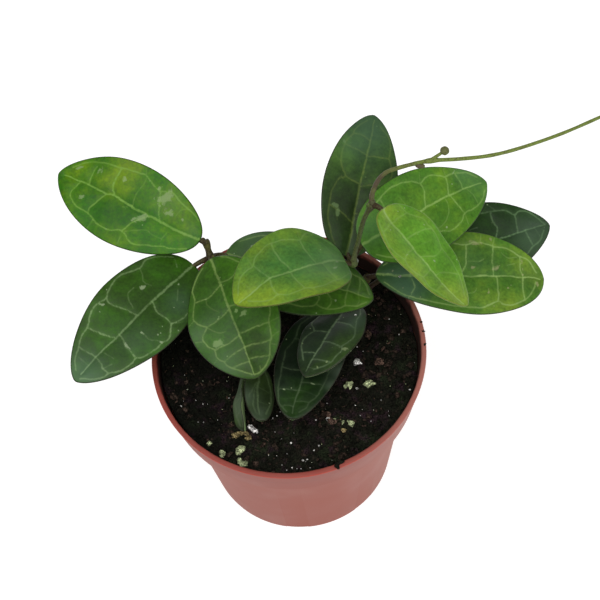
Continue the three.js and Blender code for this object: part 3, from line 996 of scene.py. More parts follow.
@dataclass
class Soil:
    """The peat: a lumpy crowned surface, closed down the pot's wall, with loose bits on it.

    The waves are the width and height of its lumps with the noise level that they are read at, and the
    wall is (radius, height) rings down the inside of the pot. The heap rises from a share of the radius
    over another share of it. A bit that the photo shows is its pixel, its three half sizes, its turn in
    degrees and the height that it lies at, which is 0 for the peat's own. A speck that it shows is its
    pixel and its size: a white bit, partly perlite and partly a painted glint of the damp peat.
    """

    camera: Camera
    radius: float = 49.15
    lip_radius: float = 51.9
    edge_height: float = 79.5
    crown: float = 1.5
    waves: tuple[Point, ...] = ((17, 1.1, 3.1), (5.5, 1.15, 8.4), (2.1, 0.6325, 1.7), (0.9, 0.322, 5.2))
    heap: float = 3.6
    heap_from: float = 0.55
    heap_over: float = 0.45
    heap_power: float = 1.5
    grid: int = 180
    crumbs: int = 2200
    crumb_least: float = 0.22
    crumb_more: float = 1.5
    crumb_tones: tuple[float, ...] = (0.0, 0.0, 0.0, 0.0, 0.03, 0.06, 0.09, 0.13)
    specks: int = 170
    speck_sizes: Spot = (0.1, 0.24)
    speck_tones: tuple[float, ...] = (Grain.HUSK.value, Grain.GREENISH.value, 0.8, Grain.PERLITE.value)
    fibres: int = 110
    fibre_points: int = 5
    fibre_steps: Spot = (0.5, 1.6)
    fibre_radii: Spot = (0.08, 0.18)
    fibre_tones: tuple[float, ...] = (0.06, 0.08, 0.12, 0.3)
    batch: int = 60
    wall: Line = ((48.9, 77.0), (47.8, 69.7), (44.0, 69.6), (36.4, 3.4))
    seen: dict[Grain, tuple[tuple[float, ...], ...]] = field(default_factory=dict)
    seen_specks_and_glints: tuple[Point, ...] = ()
    edge_gap: float = 1.2
    fibre_gap: float = 0.8
    seed: int = 7

    def height(self, x: float, y: float) -> float:
        """Finds how high the peat stands, which is crowned, heaped at -X, and lumpy.

        Args:
            x: the place's X in millimetres.
            y: its Y.

        Returns:
            The height in millimetres.
        """
        reach = min(math.hypot(x, y) / self.radius, 1)
        climb = min(max((-x / self.radius - self.heap_from) / self.heap_over, 0), 1)
        heap = self.heap * climb**self.heap_power
        lumps = sum(noise.noise(Vector((x / wide, y / wide, at))) * tall for wide, tall, at in self.waves)
        return self.edge_height + self.crown * (1 - reach**2) + heap + lumps

    def build(self) -> None:
        """Makes the peat's body and its loose bits and lets both stand for the CAD soil."""
        material = PeatFinish().material()
        self.build_body(material)
        self.build_loose(material)

    def build_body(self, material: bpy.types.Material) -> None:
        """Makes the surface from a square grid drawn into a disc, and closes it below.

        Args:
            material: the peat's finish.
        """
        bm = tone_bmesh()
        bmesh.ops.create_grid(bm, x_segments=self.grid, y_segments=self.grid, size=1.0)
        for vert in bm.verts:
            a, b = vert.co.x, vert.co.y
            if abs(a) > abs(b):
                reach, turn = a, math.pi / 4 * b / a
            else:
                reach, turn = b, math.pi / 2 - (math.pi / 4 * a / b if b else 0)
            x, y = reach * math.cos(turn) * self.radius, reach * math.sin(turn) * self.radius
            vert.co = Vector((x, y, self.height(x, y))) * MM
        edges = [edge for edge in bm.edges if edge.is_boundary]
        reach = self.radius
        for radius, height in self.wall:
            ring, edges = grow_ring(bm, edges)
            bmesh.ops.scale(bm, verts=ring, vec=(radius / reach, radius / reach, 1))
            for vert in ring:
                vert.co.z = height * MM
            reach = radius
        bmesh.ops.contextual_create(bm, geom=edges)
        bmesh.ops.recalc_face_normals(bm, faces=bm.faces[:])
        as_piece(new_mesh("peat", bm), material, ("soil",))

    def add_bit(
        self,
        bm: bmesh.types.BMesh,
        place: Point,
        size: Point,
        turn: float,
        kind: float,
        fineness: int = 1,
        crumple: float = 0.9,
    ) -> None:
        """Adds one loose bit as a crumpled ball.

        Args:
            bm: the bmesh that takes it.
            place: its middle in millimetres.
            size: its three half sizes in millimetres.
            turn: its turn about the vertical in degrees, which also tilts it a little.
            kind: the tone that its material reads.
            fineness: how often the ball is subdivided.
            crumple: how far its skin moves, as a share of its size.
        """
        tone = bm.verts.layers.float["tone"]
        tilt = Matrix.Rotation(math.radians(turn * 0.37 % 40 - 20), 3, "X")
        matrix = place_at(place, Matrix.Rotation(math.radians(turn), 3, "Z") @ tilt, size)
        for vert in bmesh.ops.create_icosphere(bm, subdivisions=fineness, radius=1.0)["verts"]:
            push = 1 + crumple * noise.noise(vert.co * 1.3 + Vector((place[0], place[1], turn)))
            vert.co = matrix @ (vert.co * push)
            vert[tone] = kind

    def build_loose(self, material: bpy.types.Material) -> None:
        """Scatters crumbs, specks and fibres and lays the bits that the photo shows, all as one piece.

        Args:
            material: the peat's finish.
        """
        chance = random.Random(self.seed)
        whole = tone_bmesh()
        bits = [self.add_crumb] * self.crumbs + [self.add_speck] * self.specks + [self.add_fibre] * self.fibres
        for start in range(0, len(bits), self.batch):
            part = tone_bmesh()
            for add in bits[start : start + self.batch]:
                add(part, chance)
            mesh = new_mesh("part", part)
            whole.from_mesh(mesh)
            bpy.data.meshes.remove(mesh)
        for kind, rows in self.seen.items():
            for across, down, *size, turn, level in rows:
                place = self.camera.on_level((across, down), level or self.edge_height + 1)
                if kind is Grain.CRUMB:
                    place.xy *= min(1, self.lip_radius / place.xy.length)
                height = (level or self.height(place.x, place.y)) + size[2] * 0.45
                self.add_bit(whole, (place.x, place.y, height), size, turn, kind.value, 3, 0.7)
        # The seen specks are partly perlite and partly painted glints: white bits set where the damp peat
        # catches the light.
        for across, down, size in self.seen_specks_and_glints:
            place = self.camera.on_level((across, down), self.edge_height + 1)
            height = self.height(place.x, place.y) + size
            halves = (size, size * 0.8, size * 0.8)
            self.add_bit(whole, (place.x, place.y, height), halves, across * 7, Grain.PERLITE.value, 2, 0.6)
        as_piece(new_mesh("peat_bits", whole), material, ("soil",))

    def random_place(self, chance: random.Random) -> Spot:
        """Picks a place on the peat, evenly over its area.

        Args:
            chance: the source of the place.

        Returns:
            Its X and Y in millimetres.
        """
        reach = (self.radius - self.edge_gap) * math.sqrt(chance.random())
        turn = chance.uniform(0, 2 * math.pi)
        return (reach * math.cos(turn), reach * math.sin(turn))

    def add_crumb(self, bm: bmesh.types.BMesh, chance: random.Random) -> None:
        """Adds one crumb of peat.

        Args:
            bm: the bmesh that takes it.
            chance: the source of its place, size and tone.
        """
        x, y = self.random_place(chance)
        size = chance.uniform(0.3, 1.0) ** 3 * self.crumb_more + self.crumb_least
        halves = (size, size * chance.uniform(0.45, 1), size * chance.uniform(0.4, 0.9))
        tone = chance.choice(self.crumb_tones)
        place = (x, y, self.height(x, y) + size * 0.1)
        self.add_bit(bm, place, halves, chance.uniform(0, 360), tone)

    def add_speck(self, bm: bmesh.types.BMesh, chance: random.Random) -> None:
        """Adds one pin-point white or greenish speck.

        Args:
            bm: the bmesh that takes it.
            chance: the source of its place, size and kind.
        """
        x, y = self.random_place(chance)
        size = chance.uniform(*self.speck_sizes)
        tone = chance.choice(self.speck_tones)
        place = (x, y, self.height(x, y) + size)
        self.add_bit(bm, place, (size, size * 0.8, size * 0.7), chance.uniform(0, 360), tone, crumple=0.4)

    def add_fibre(self, bm: bmesh.types.BMesh, chance: random.Random) -> None:
        """Lays one short bent root fibre on the peat, unless it would run into the wall.

        Args:
            bm: the bmesh that takes it.
            chance: the source of its place and bends.
        """
        x, y = self.random_place(chance)
        turn = chance.uniform(0, 2 * math.pi)
        step = chance.uniform(*self.fibre_steps)
        points = []
        for _ in range(self.fibre_points):
            if math.hypot(x, y) > self.radius - self.fibre_gap:
                break
            points.append((x, y, self.height(x, y) + chance.uniform(0.1, 0.5)))
            turn += chance.uniform(-0.6, 0.6)
            x += step * math.cos(turn)
            y += step * math.sin(turn)
        if len(points) > 2:
            radii = np.full(len(points), chance.uniform(*self.fibre_radii))
            tone = chance.choice(self.fibre_tones)
            add_tube(bm, np.array(points), radii, 4, np.full(len(points), tone))


@dataclass(frozen=True)
class PotFinish:
    """Injection-moulded polypropylene, terracotta red: plain, satin, with faint patches of dust and painted
    sheen on its +X side.
    """

    wall: str = "#93412B"
    collar: str = "#88341D"
    # The lip colour is painted highlight: a brighter red where the rounded lip catches the light.
    lip: str = "#A83E30"
    brim: str = "#8C3B31"
    dust_and_sheen_tint: str = "#A76E62"
    inside_dark: str = "#1A1411"

    def material(self) -> bpy.types.Material:
        """Builds the plastic, whose lip band is a brighter red than its wall as painted highlight, and whose +X
        side is paler with painted sheen.

        Returns:
            A material that reads Object coordinates.
        """
        material, add = bare_material("moulded terracotta polypropylene")
        place = add("TexCoord", out="Object")
        east = add("SeparateXYZ", (place,), "X")
        height = east.node.outputs["Z"]
        cloud, ragged, fine = (
            add("TexNoise", {"Vector": place, "Scale": 1 / (size * MM), "Detail": detail})
            for size, detail in ((22, 4), (3, 5), (0.8, 2))
        )
        colour = linear(self.wall)
        # The lip band is painted highlight.
        for tint, bottom, top in ((self.collar, 60, 84), (self.lip, 84.4, 85.6), (self.brim, 86.1, 86.4)):
            band = add("MapRange", (height, bottom * MM, top * MM), **SMOOTH)
            colour = add("Mix", {0: band, 6: colour, 7: linear(tint)}, 2, **BLEND)
        dust_and_sheen = add("MapRange", (cloud, 0.45, 0.8, 0, 0.22))
        # Painted sheen: more of the dust colour towards +X makes that side paler, where light is reflected.
        painted_sheen_east = add("MapRange", (east, 10 * MM, 48 * MM, 0, 0.6), **SMOOTH)
        dust_and_sheen = add("Math", (dust_and_sheen, painted_sheen_east), operation="ADD")
        inside_darkening = self.inside_darkening(add, place, height, ragged)
        for mask, tint in ((dust_and_sheen, self.dust_and_sheen_tint), (inside_darkening, self.inside_dark)):
            colour = add("Mix", {0: mask, 6: colour, 7: linear(tint)}, 2, **BLEND)
        rough = add("MapRange", (cloud, 0.3, 0.7, 0.5, 0.62))
        bump = add("Bump", {"Height": fine, "Strength": 0.2, "Distance": 0.05 * MM})
        sheen = {"Roughness": rough, "IOR": 1.49, "Specular IOR Level": 0.32}
        shader = add("BsdfPrincipled", {"Base Color": colour, "Normal": bump, **sheen})
        add("OutputMaterial", (shader,))
        return material

    def inside_darkening(self, add: Adder, place: Socket, height: Socket, ragged: Socket) -> Socket:
        """Where the inside of the wall is darker above the peat, up to a ragged line on the lip's inner edge.

        Args:
            add: adds a node to the material.
            place: Object coordinates.
            height: their Z.
            ragged: the noise that frays the line.

        Returns:
            The strength of the darkening.
        """
        level = add("VectorMath", (place, (1, 1, 0)), operation="MULTIPLY")
        reach = add("VectorMath", (level,), "Value", operation="LENGTH")
        inside = add("MapRange", (reach, 50.4 * MM, 51.3 * MM, 1, 0), **SMOOTH)
        edge = add("Math", (ragged, 4.5 * MM, height), operation="MULTIPLY_ADD")
        low = add("MapRange", (edge, 86.4 * MM, 90.5 * MM, 0.95, 0), **SMOOTH)
        above = add("MapRange", (height, 77.5 * MM, 79 * MM), **SMOOTH)
        share = add("Math", (inside, low), operation="MULTIPLY")
        return add("Math", (share, above), operation="MULTIPLY")


@dataclass
class Pot:
    """The round nursery pot: tapered wall, collar, lip, recessed floor with drain holes and foot notches.

    The profile is (radius, height) corners. Two faces that meet at more than corner_turn, in radians, get
    a round edge, and shading breaks at more than sharp_turn, in degrees.
    """

    profile: Line = (
        (0, 0), (9, 0), (9.7, 1.6), (32.3, 1.6), (33, 0), (37.3, 0), (38, 0.7), (45.7, 67.8), (48.8, 67.8),
        (49.5, 68.5), (52.15, 85.1), (52.5, 85.8), (52.15, 86.5), (50.5, 86.5), (48.1, 69.2), (44.3, 69.2),
        (36.6, 3.1), (0, 3.1),
    )
    segments: int = 144
    edge_round: float = 0.3
    weld: float = 0.01
    corner_turn: float = 0.5
    sharp_turn: float = 40.0
    hole_depth: float = 12.0
    hole_radius: float = 4.0
    hole_reach: float = 21.0
    holes: int = 6
    notches: int = 8
    notch_turn: float = -98.0
    notch_size: Point = (12.0, 9.0, 2.8)
    notch_reach: float = 36.0
    finish: PotFinish = field(default_factory=PotFinish)

    def build(self) -> None:
        """Spins the wall's profile, rounds its edges, cuts it and lets it stand for the CAD pot."""
        bm = bmesh.new()
        corners = [bm.verts.new(Vector((x, 0, z)) * MM) for x, z in self.profile]
        edges = [bm.edges.new(pair) for pair in zip(corners, corners[1:])]
        bmesh.ops.spin(
            bm, geom=corners + edges, cent=(0, 0, 0), axis=(0, 0, 1), dvec=(0, 0, 0), angle=2 * math.pi,
            steps=self.segments, use_merge=True, use_duplicate=False,
        )
        bmesh.ops.remove_doubles(bm, verts=bm.verts[:], dist=self.weld * MM)
        bmesh.ops.recalc_face_normals(bm, faces=bm.faces[:])
        sharp = [
            edge
            for edge in bm.edges
            if edge.is_manifold
            and edge.calc_face_angle() > self.corner_turn
            and abs(edge.verts[0].co.z - edge.verts[1].co.z) < self.weld * MM
        ]
        bmesh.ops.bevel(
            bm, geom=sharp, offset=self.edge_round * MM, offset_type="OFFSET", affect="EDGES", segments=3,
            profile=0.5, material=-1, clamp_overlap=True,
        )
        self.cut(as_piece(new_mesh("moulded_pot", bm), self.finish.material(), ("pot",)))

    def cut(self, pot: bpy.types.Object) -> None:
        """Cuts the drain holes and the foot notches.

        Args:
            pot: the pot, whose mesh is changed.
        """
        bm = bmesh.new()
        for number in range(self.holes):
            turn = math.radians(360 / self.holes * number)
            place = Vector((math.cos(turn), math.sin(turn), 0)) * self.hole_reach * MM
            radius = self.hole_radius * MM
            bmesh.ops.create_cone(
                bm, cap_ends=True, segments=32, radius1=radius, radius2=radius, depth=self.hole_depth * MM,
                matrix=Matrix.Translation(place),
            )
        for number in range(self.notches):
            turn = Matrix.Rotation(math.radians(self.notch_turn + 360 / self.notches * number), 4, "Z")
            box = place_at((self.notch_reach, 0, 0), Matrix.Identity(3), self.notch_size)
            bmesh.ops.create_cube(bm, matrix=turn @ box)
        cutter = new_object("cutter", new_mesh("cutter", bm))
        cutting = pot.modifiers.new("holes", "BOOLEAN")
        cutting.operation = "DIFFERENCE"
        cutting.solver = "EXACT"
        cutting.object = cutter
        bpy.context.view_layer.update()
        finished = bpy.data.meshes.new_from_object(pot.evaluated_get(bpy.context.evaluated_depsgraph_get()))
        pot.modifiers.clear()
        pot.data = finished
        bpy.data.objects.remove(cutter)
        for edge in finished.edges:
            edge.use_edge_sharp = False
        finished.set_sharp_from_angle(angle=math.radians(self.sharp_turn))


@dataclass(frozen=True)
class Lamp:
    """A soft box: its place in metres, its side and its power."""

    name: str
    place: Point
    side: float
    power: float


@dataclass
class Studio:
    """A white sweep, white surroundings and soft boxes, as for a catalogue photo, in metres."""

    floor_side: float = 40.0
    surroundings: float = 0.3
    floor_glow: float = 0.8
    floor_white: float = 0.42
    aim: Point = (0.0, 0.0, 0.1)
    lamps: tuple[Lamp, ...] = (
        Lamp("key", (-0.25, -0.35, 1.4), 1.3, 15.0), Lamp("fill", (0.9, -0.7, 0.9), 0.9, 5.0),
    )

    def build(self) -> None:
        """Builds the floor, the surroundings and the lamps."""
        bpy.context.scene.view_settings.view_transform = "Standard"
        world = bpy.data.worlds.new("white surroundings")
        world.use_nodes = True
        bpy.context.scene.world = world
        sky = world.node_tree.nodes["Background"]
        sky.inputs["Color"].default_value = (1, 1, 1, 1)
        sky.inputs["Strength"].default_value = self.surroundings
        self.build_floor()
        for lamp in self.lamps:
            data = bpy.data.lights.new(lamp.name, "AREA")
            data.size = lamp.side
            data.energy = lamp.power
            place = Vector(lamp.place)
            towards = (Vector(self.aim) - place).to_track_quat("-Z", "Y")
            new_object(lamp.name, data).matrix_world = Matrix.Translation(place) @ towards.to_matrix().to_4x4()

    def build_floor(self) -> None:
        """Lays the white floor, lit from within so that it photographs as pure white."""
        material, add = bare_material("backlit white sheet")
        paint = {"Base Color": (*[self.floor_white] * 3, 1), "Roughness": 0.9, "Specular IOR Level": 0}
        glow = {"Emission Color": (1, 1, 1, 1), "Emission Strength": self.floor_glow}
        add("OutputMaterial", (add("BsdfPrincipled", {**paint, **glow}),))
        bm = bmesh.new()
        bmesh.ops.create_grid(bm, x_segments=2, y_segments=2, size=self.floor_side / 2)
        floor = new_object("floor", new_mesh("floor", bm))
        floor.data.materials.append(material)


UPPER_LEFT_VEINS = VeinMap(
    midrib=((0, 8), (12, 8), (30, 2), (45, 0), (60, -6), (66, -3), (80, -6), (95, -12)),
    loops=(
        ((5, 80), (13, 76), (20, 72), (33, 80), (39, 77), (45, 62), (52, 70), (59, 73), (65, 70), (70, 64),
         (76, 68), (82, 70), (86, 50), (85, 20), (84, 0)),
        ((6, -85), (13, -78), (20, -75), (28, -80), (35, -64), (41, -70), (47, -80), (52, -77), (59, -75),
         (65, -75), (76, -80), (86, -82), (92, -60)),
    ),
    laterals=(
        ((34.5, 2), (39, 20), (43, 40), (45.5, 62)), ((65, -2), (68, 22), (70, 46), (70, 64)),
        ((60, -6), (62.5, -22), (63.2, -45), (63, -75)), ((78, -6), (78.5, -35), (77.5, -66)),
        ((28, 0), (31, -27), (35, -64)),
    ),
    twigs=(
        ((20, 24), (21, 48), (19.6, 72)), ((21, 48), (28, 45), (32, 38), (38, 48), (44, 60)),
        ((45, 62), (44, 92)), ((65, 70), (66, 94)), ((46.5, 0), (47.5, -30), (46, -55), (46.5, -80)),
        ((20, -30), (18, -60), (14, -80)), ((47, -80), (49, -95)), ((52, 10), (49, 5)),
    ),
    splashes=((39, 17, 6, 2.4, 50), (78, 37, 3, 1.5, 80), (74.8, -55, 4, 3, 30), (31, -52, 6.5, 4.5, 30),
        (24, -30, 3.4, 2.4, 50), (58, -50, 3, 1.8, 10), (15, -35, 1.2, 1.1, 0), (88, -60, 3, 0.9, 50),
        (47.5, -42, 2.6, 0.8, -40), (50, 8, 1.6, 0.8, 0), (36, -40, 1.2, 1, 0), (36, -68, 3, 1.4, 40)),
)

LOWER_LEFT_VEINS = VeinMap(
    midrib=((0, 4), (13, 4), (35, 2), (65, 3), (80, 0), (95, 2)),
    loops=(
        ((6, 70), (20, 84), (30, 83), (36, 74), (38, 71), (42, 82), (46.5, 89), (50, 88), (55, 89),
         (60, 89), (65, 85), (67.5, 79), (71, 85), (75.5, 89), (80, 89), (84, 80), (88, 85), (93, 75),
         (97, 30)),
        ((6, -80), (14, -90), (20, -91), (26, -79), (35, -91), (42, -90), (49, -83), (53, -77), (60, -86),
         (66.5, -83), (72, -74), (78, -79), (84.5, -72), (90, -72), (95, -50)),
    ),
    laterals=(
        ((35.3, 2), (37.2, 16), (38.4, 29), (37.7, 52), (38, 71)),
        ((63, 2), (63.7, 20), (66, 39), (67.5, 79)), ((81.8, 0), (82.7, 28), (84, 48), (84, 80)),
        ((47.5, 0), (48.7, -16), (51.4, -37), (53.3, -60), (52.5, -77)),
        ((66.5, 0), (69.3, -29), (72.2, -74)), ((82, -2), (83, -38), (84, -70)),
    ),
    twigs=(
        ((53.5, 34), (53.7, 60), (51.5, 73), (50, 88)), ((88.3, 0), (88.6, -60)), ((77, 10), (76, 45)),
        ((29, -27), (30, -47), (27.7, -62), (26, -79)), ((46, -16), (43, -45), (37, -50)),
        ((6, -70), (9, -30)), ((25, 45), (19, 25)), ((84, 48), (79, 55)), ((38, 71), (33, 86)),
    ),
    splashes=((65.5, 42, 3.2, 1, 8), (34, -37, 3, 2.2, 70), (57, -75, 2.4, 1.3, -35),
        (61, -68, 1.2, 0.9, 0), (23, 2, 1.8, 0.6, 60), (16.5, 17, 1, 0.9, 0), (14.5, -18, 1, 0.9, 0),
        (50.5, 87, 1.7, 1.2, 0), (43, 60, 0.8, 0.6, 0), (48.5, 66, 0.9, 0.7, 0), (38.7, 93, 0.9, 0.7, 0),
        (54, 40, 2.4, 0.7, 0)),
)

CENTRE_LEFT_VEINS = VeinMap(
    midrib=((0, 0), (10, -2), (50, -3), (70, -2), (96, 0)),
    loops=(
        ((5, 70), (10, 80), (17, 82), (30, 86), (45, 80), (60, 79), (68, 73), (72, 73), (77, 75), (81, 72),
         (87, 74), (92.5, 76), (96, 55), (96.5, 5)),
        ((5, -70), (10, -83), (18, -93), (25, -83), (29, -80), (37, -84), (44, -82), (49, -73), (52.7, -61),
         (58, -75), (62, -79), (67, -74), (71.4, -67), (78, -75), (81.6, -67), (84.5, -69), (88.5, -63),
         (92.5, -43), (96, -10)),
    ),
    laterals=(
        ((26.5, -2), (28.7, -16), (30.6, -30), (31.3, -48), (29.5, -79)),
        ((46.7, -3), (49.7, -24), (52.7, -61)), ((67.6, -3), (69.7, -27), (71.4, -67)),
        ((77, -2), (78.5, -28), (81.6, -66)), ((86.7, -2), (87.5, -55), (88.5, -63)),
        ((85, 0), (86.4, 38), (88, 75)), ((76.9, 0), (77.8, 42), (78.5, 75)),
        ((66, 0), (67, 24), (67, 53), (68, 73)), ((25, 0), (26.5, 27), (24, 60), (20, 82)),
        ((45, 0), (48, 35), (50, 80)),
    ),
    twigs=(
        ((31.3, -48), (36, -48), (41.5, -38), (46.3, -26)),
        ((52.7, -61), (57.8, -49), (60.5, -39), (61, -25)), ((77, 75), (76, 96)), ((68, 73), (67.5, 95)),
        ((81, 72), (83, 92)), ((87, 74), (90, 90)), ((62, -79), (60, -95)), ((44, -82), (46, -97)),
        ((78, -75), (80, -93)), ((92.5, 40), (95, 50)),
    ),
    splashes=((67.2, -55, 6, 2.6, 0), (54.5, 22, 3, 2.2, -20), (50.5, 10, 2, 1.2, -20),
        (28, 5, 0.9, 0.8, 0), (50, -33, 1.4, 0.7, 0), (31.3, -48, 1.4, 1, 0)),
)

UNDER_CENTRE_VEINS = VeinMap(
    midrib=((0, 2), (50, 2), (80, 0), (97, -2)),
    loops=(
        ((6, 75), (20, 85), (30, 70), (40, 84), (50, 72), (60, 82), (68, 76), (75, 84), (82.5, 73),
         (87, 79), (93, 78), (96.5, 35)),
        ((6, -75), (20, -85), (32, -72), (43, -84), (52, -76), (60, -77), (65.5, -72), (67.5, -64),
         (70, -69), (74, -77), (80, -76), (84, -65), (88, -68), (92, -72), (96, -50)),
    ),
    laterals=(
        ((20, 0), (25, 35), (30, 70)), ((22, 0), (27, -35), (32, -72)), ((40, 0), (45, 35), (50, 72)),
        ((42, 0), (47, -35), (52, -76)), ((58, 0), (63, 38), (68, 76)),
        ((60, 0), (64, -30), (68, -42), (67.5, -64)),
        ((70, 0), (72, -25), (74.5, -42), (76, -60), (74.5, -76)), ((82.7, 0), (83.3, -32), (84.3, -65)),
        ((82.5, 0), (82.7, 32), (82.2, 70)), ((90, 0), (89, 45), (88, 79)),
    ),
    twigs=(
        ((90, 0), (91.5, -40), (91, -70)), ((74.5, -42), (78, -45)), ((45, 35), (37, 42)),
        ((27, -35), (36, -45)), ((63, 38), (55, 44)),
    ),
    splashes=((78, -46, 1.2, 0.8, 0), (35, 40, 3, 1.6, 20), (55, -30, 2.4, 1.4, -30), (15, 40, 2, 1.2, 0)),
)

CENTRE_VEINS = VeinMap(
    midrib=((0, 0), (14, 5), (29, 11), (45, 13.5), (53, 13), (60, 10), (67, 7), (76, 10), (85, 17),
        (93, 23), (97, 30)),
    loops=(
        ((6, 75), (23, 75), (33, 76), (43, 77), (51, 73), (58, 76), (65, 75), (71, 66), (76, 73),
         (81.5, 73), (87, 66), (91, 50)),
        ((6, -80), (20, -90), (27, -77), (32.5, -61), (37.5, -65), (45, -71), (52.5, -74), (60, -73),
         (67.5, -66), (71, -57), (73.5, -52), (79, -58), (85, -62), (89.5, -52), (94, -25)),
    ),
    laterals=(
        ((67.6, 7), (70, -25), (72.5, -52)), ((68, 8), (70.2, 27), (71.2, 44), (71, 66)),
        ((30, 8), (33, -30), (32.5, -61)), ((52, 13), (53, 34), (51.5, 70)), ((25, 10), (24, 45), (23, 75)),
        ((51, 10), (54, -30), (52.5, -74)),
    ),
    twigs=(
        ((84, 17), (85, -20), (86, -58)), ((12, 5), (20, 45)), ((73.5, -52), (72, -85)),
        ((71, 66), (69, 92)), ((32.5, -61), (30, -90)), ((10, -10), (17, -60)),
    ),
    splashes=((17, 35, 3, 1, 60), (11, 10, 2.4, 1, 60)),
)

TOP_VEINS = VeinMap(
    midrib=((0, -4), (29, 0), (48, 0), (66, -3), (78, -6), (90, -10), (96, -20)),
    loops=(
        ((6, 70), (20, 80), (30, 76), (40, 72), (47, 62), (50.5, 45), (55, 57), (61, 68), (66.5, 75),
         (71.5, 77), (76, 74), (80.5, 69), (84, 70), (89, 66), (94, 40)),
        ((6, -75), (20, -80), (30, -70), (42, -82), (50, -70), (58, -80), (64, -80), (70, -77), (74, -79),
         (80, -88), (86, -85), (92, -60)),
    ),
    laterals=(
        ((48.3, 0), (49.3, 25), (50.5, 45)), ((69.2, -3), (70.2, 33), (71.7, 77)),
        ((79.7, -6), (81.8, 35), (81, 67)), ((67.7, -4), (69.2, -38), (70.2, -76)),
        ((28, 0), (30, -35), (30, -70)), ((46, 0), (49, -35), (50, -70)), ((22, -1), (27, 40), (30, 74)),
    ),
    twigs=(
        ((84, -7), (84.5, -70)), ((50, 55), (47, 62)), ((60, 65), (62, 90)), ((30, 50), (22, 50)),
    ),
    splashes=((77.5, 70, 1.3, 1.1, 0), (73, 82, 1.6, 1, 40), (30.5, 60, 3, 1.6, 20),
        (26, 50, 3.4, 1.4, 88)),
)

RIGHT_UPPER_VEINS = VeinMap(
    midrib=((0, 0), (20, 0), (44, 2), (50, 5.5), (60, 8), (79, 11), (88, 12), (95, 20)),
    loops=(
        ((5, 70), (13, 72), (22, 76), (31, 82), (36, 83), (43, 80), (49, 73), (53.3, 64), (58.5, 74),
         (63, 75), (68, 72), (71.7, 64), (77, 74), (82, 79), (88, 84), (94, 70)),
        ((5, -70), (15, -80), (25, -70), (36, -82), (45, -72), (50, -61), (55, -71), (60.7, -75),
         (66.7, -70), (71.7, -58), (77.5, -64), (83.5, -70), (90, -75), (95, -50)),
    ),
    laterals=(
        ((49.4, 5), (51.8, 28), (53.6, 47), (53.3, 64)), ((67.9, 8), (70.2, 33), (71.7, 63)),
        ((80, 11), (80.3, 40), (79.7, 75)), ((69, 8), (70.5, -25), (71.7, -58)),
        ((20, 0), (24, 35), (24, 76)), ((22, 0), (26, -35), (25, -70)), ((45, 2), (48, -30), (50, -61)),
    ),
    twigs=(
        ((65, 5), (64, -15), (61.3, -33), (56, -46), (50, -52)), ((82, 11), (84.5, -28), (84.5, -65)),
        ((53.3, 64), (56, 90)), ((71.7, 64), (73, 90)), ((71.7, -58), (70, -90)), ((38, 20), (36, 60)),
    ),
    splashes=((57, -2, 1.2, 0.9, 0), (79, 78, 1.8, 0.6, 60), (55, -60, 0.8, 0.6, 0)),
)

RIGHT_FRONT_VEINS = VeinMap(
    midrib=((0, -20), (10, -23), (25, -18), (37, -19), (43.5, -22), (53, -21), (62, -25), (72, -28),
        (84, -37), (91, -45), (96, -50)),
    loops=(
        ((6, 75), (14, 60), (25, 80), (32, 76), (36, 79), (45, 76), (53, 66), (60, 67), (70, 67), (78, 68),
         (86, 60), (92, 30)),
        ((6, -85), (15, -86), (25, -90), (33, -87), (40, -78), (46, -86), (53, -86), (59, -76), (66, -87),
         (73.5, -86), (82, -85)),
    ),
    laterals=(
        ((47.4, -20), (49.8, 0), (53.7, 19), (54.5, 41), (53, 66)),
        ((29.4, -18), (30.6, 5), (31.7, 29), (33.3, 53), (36, 79)), ((13.7, -22), (13.3, 15), (13.7, 60)),
        ((65.5, -25), (67, 3), (73, 38), (78, 68)), ((58.4, -24), (59.5, -45), (58.8, -76)),
        ((38.5, -20), (38.8, -50), (40, -78)), ((73.3, -29), (73.6, -86)),
        ((13, -22), (14, -50), (15.2, -86)),
    ),
    twigs=(
        ((56, 20), (60, -5)), ((84, -37), (86, 10), (83, 50)), ((40, 10), (43, 45)),
    ),
    splashes=((56.5, 8, 1.6, 0.8, 30), (33, 60, 1.2, 0.8, 0), (39, -55, 1.8, 0.6, 0)),
)

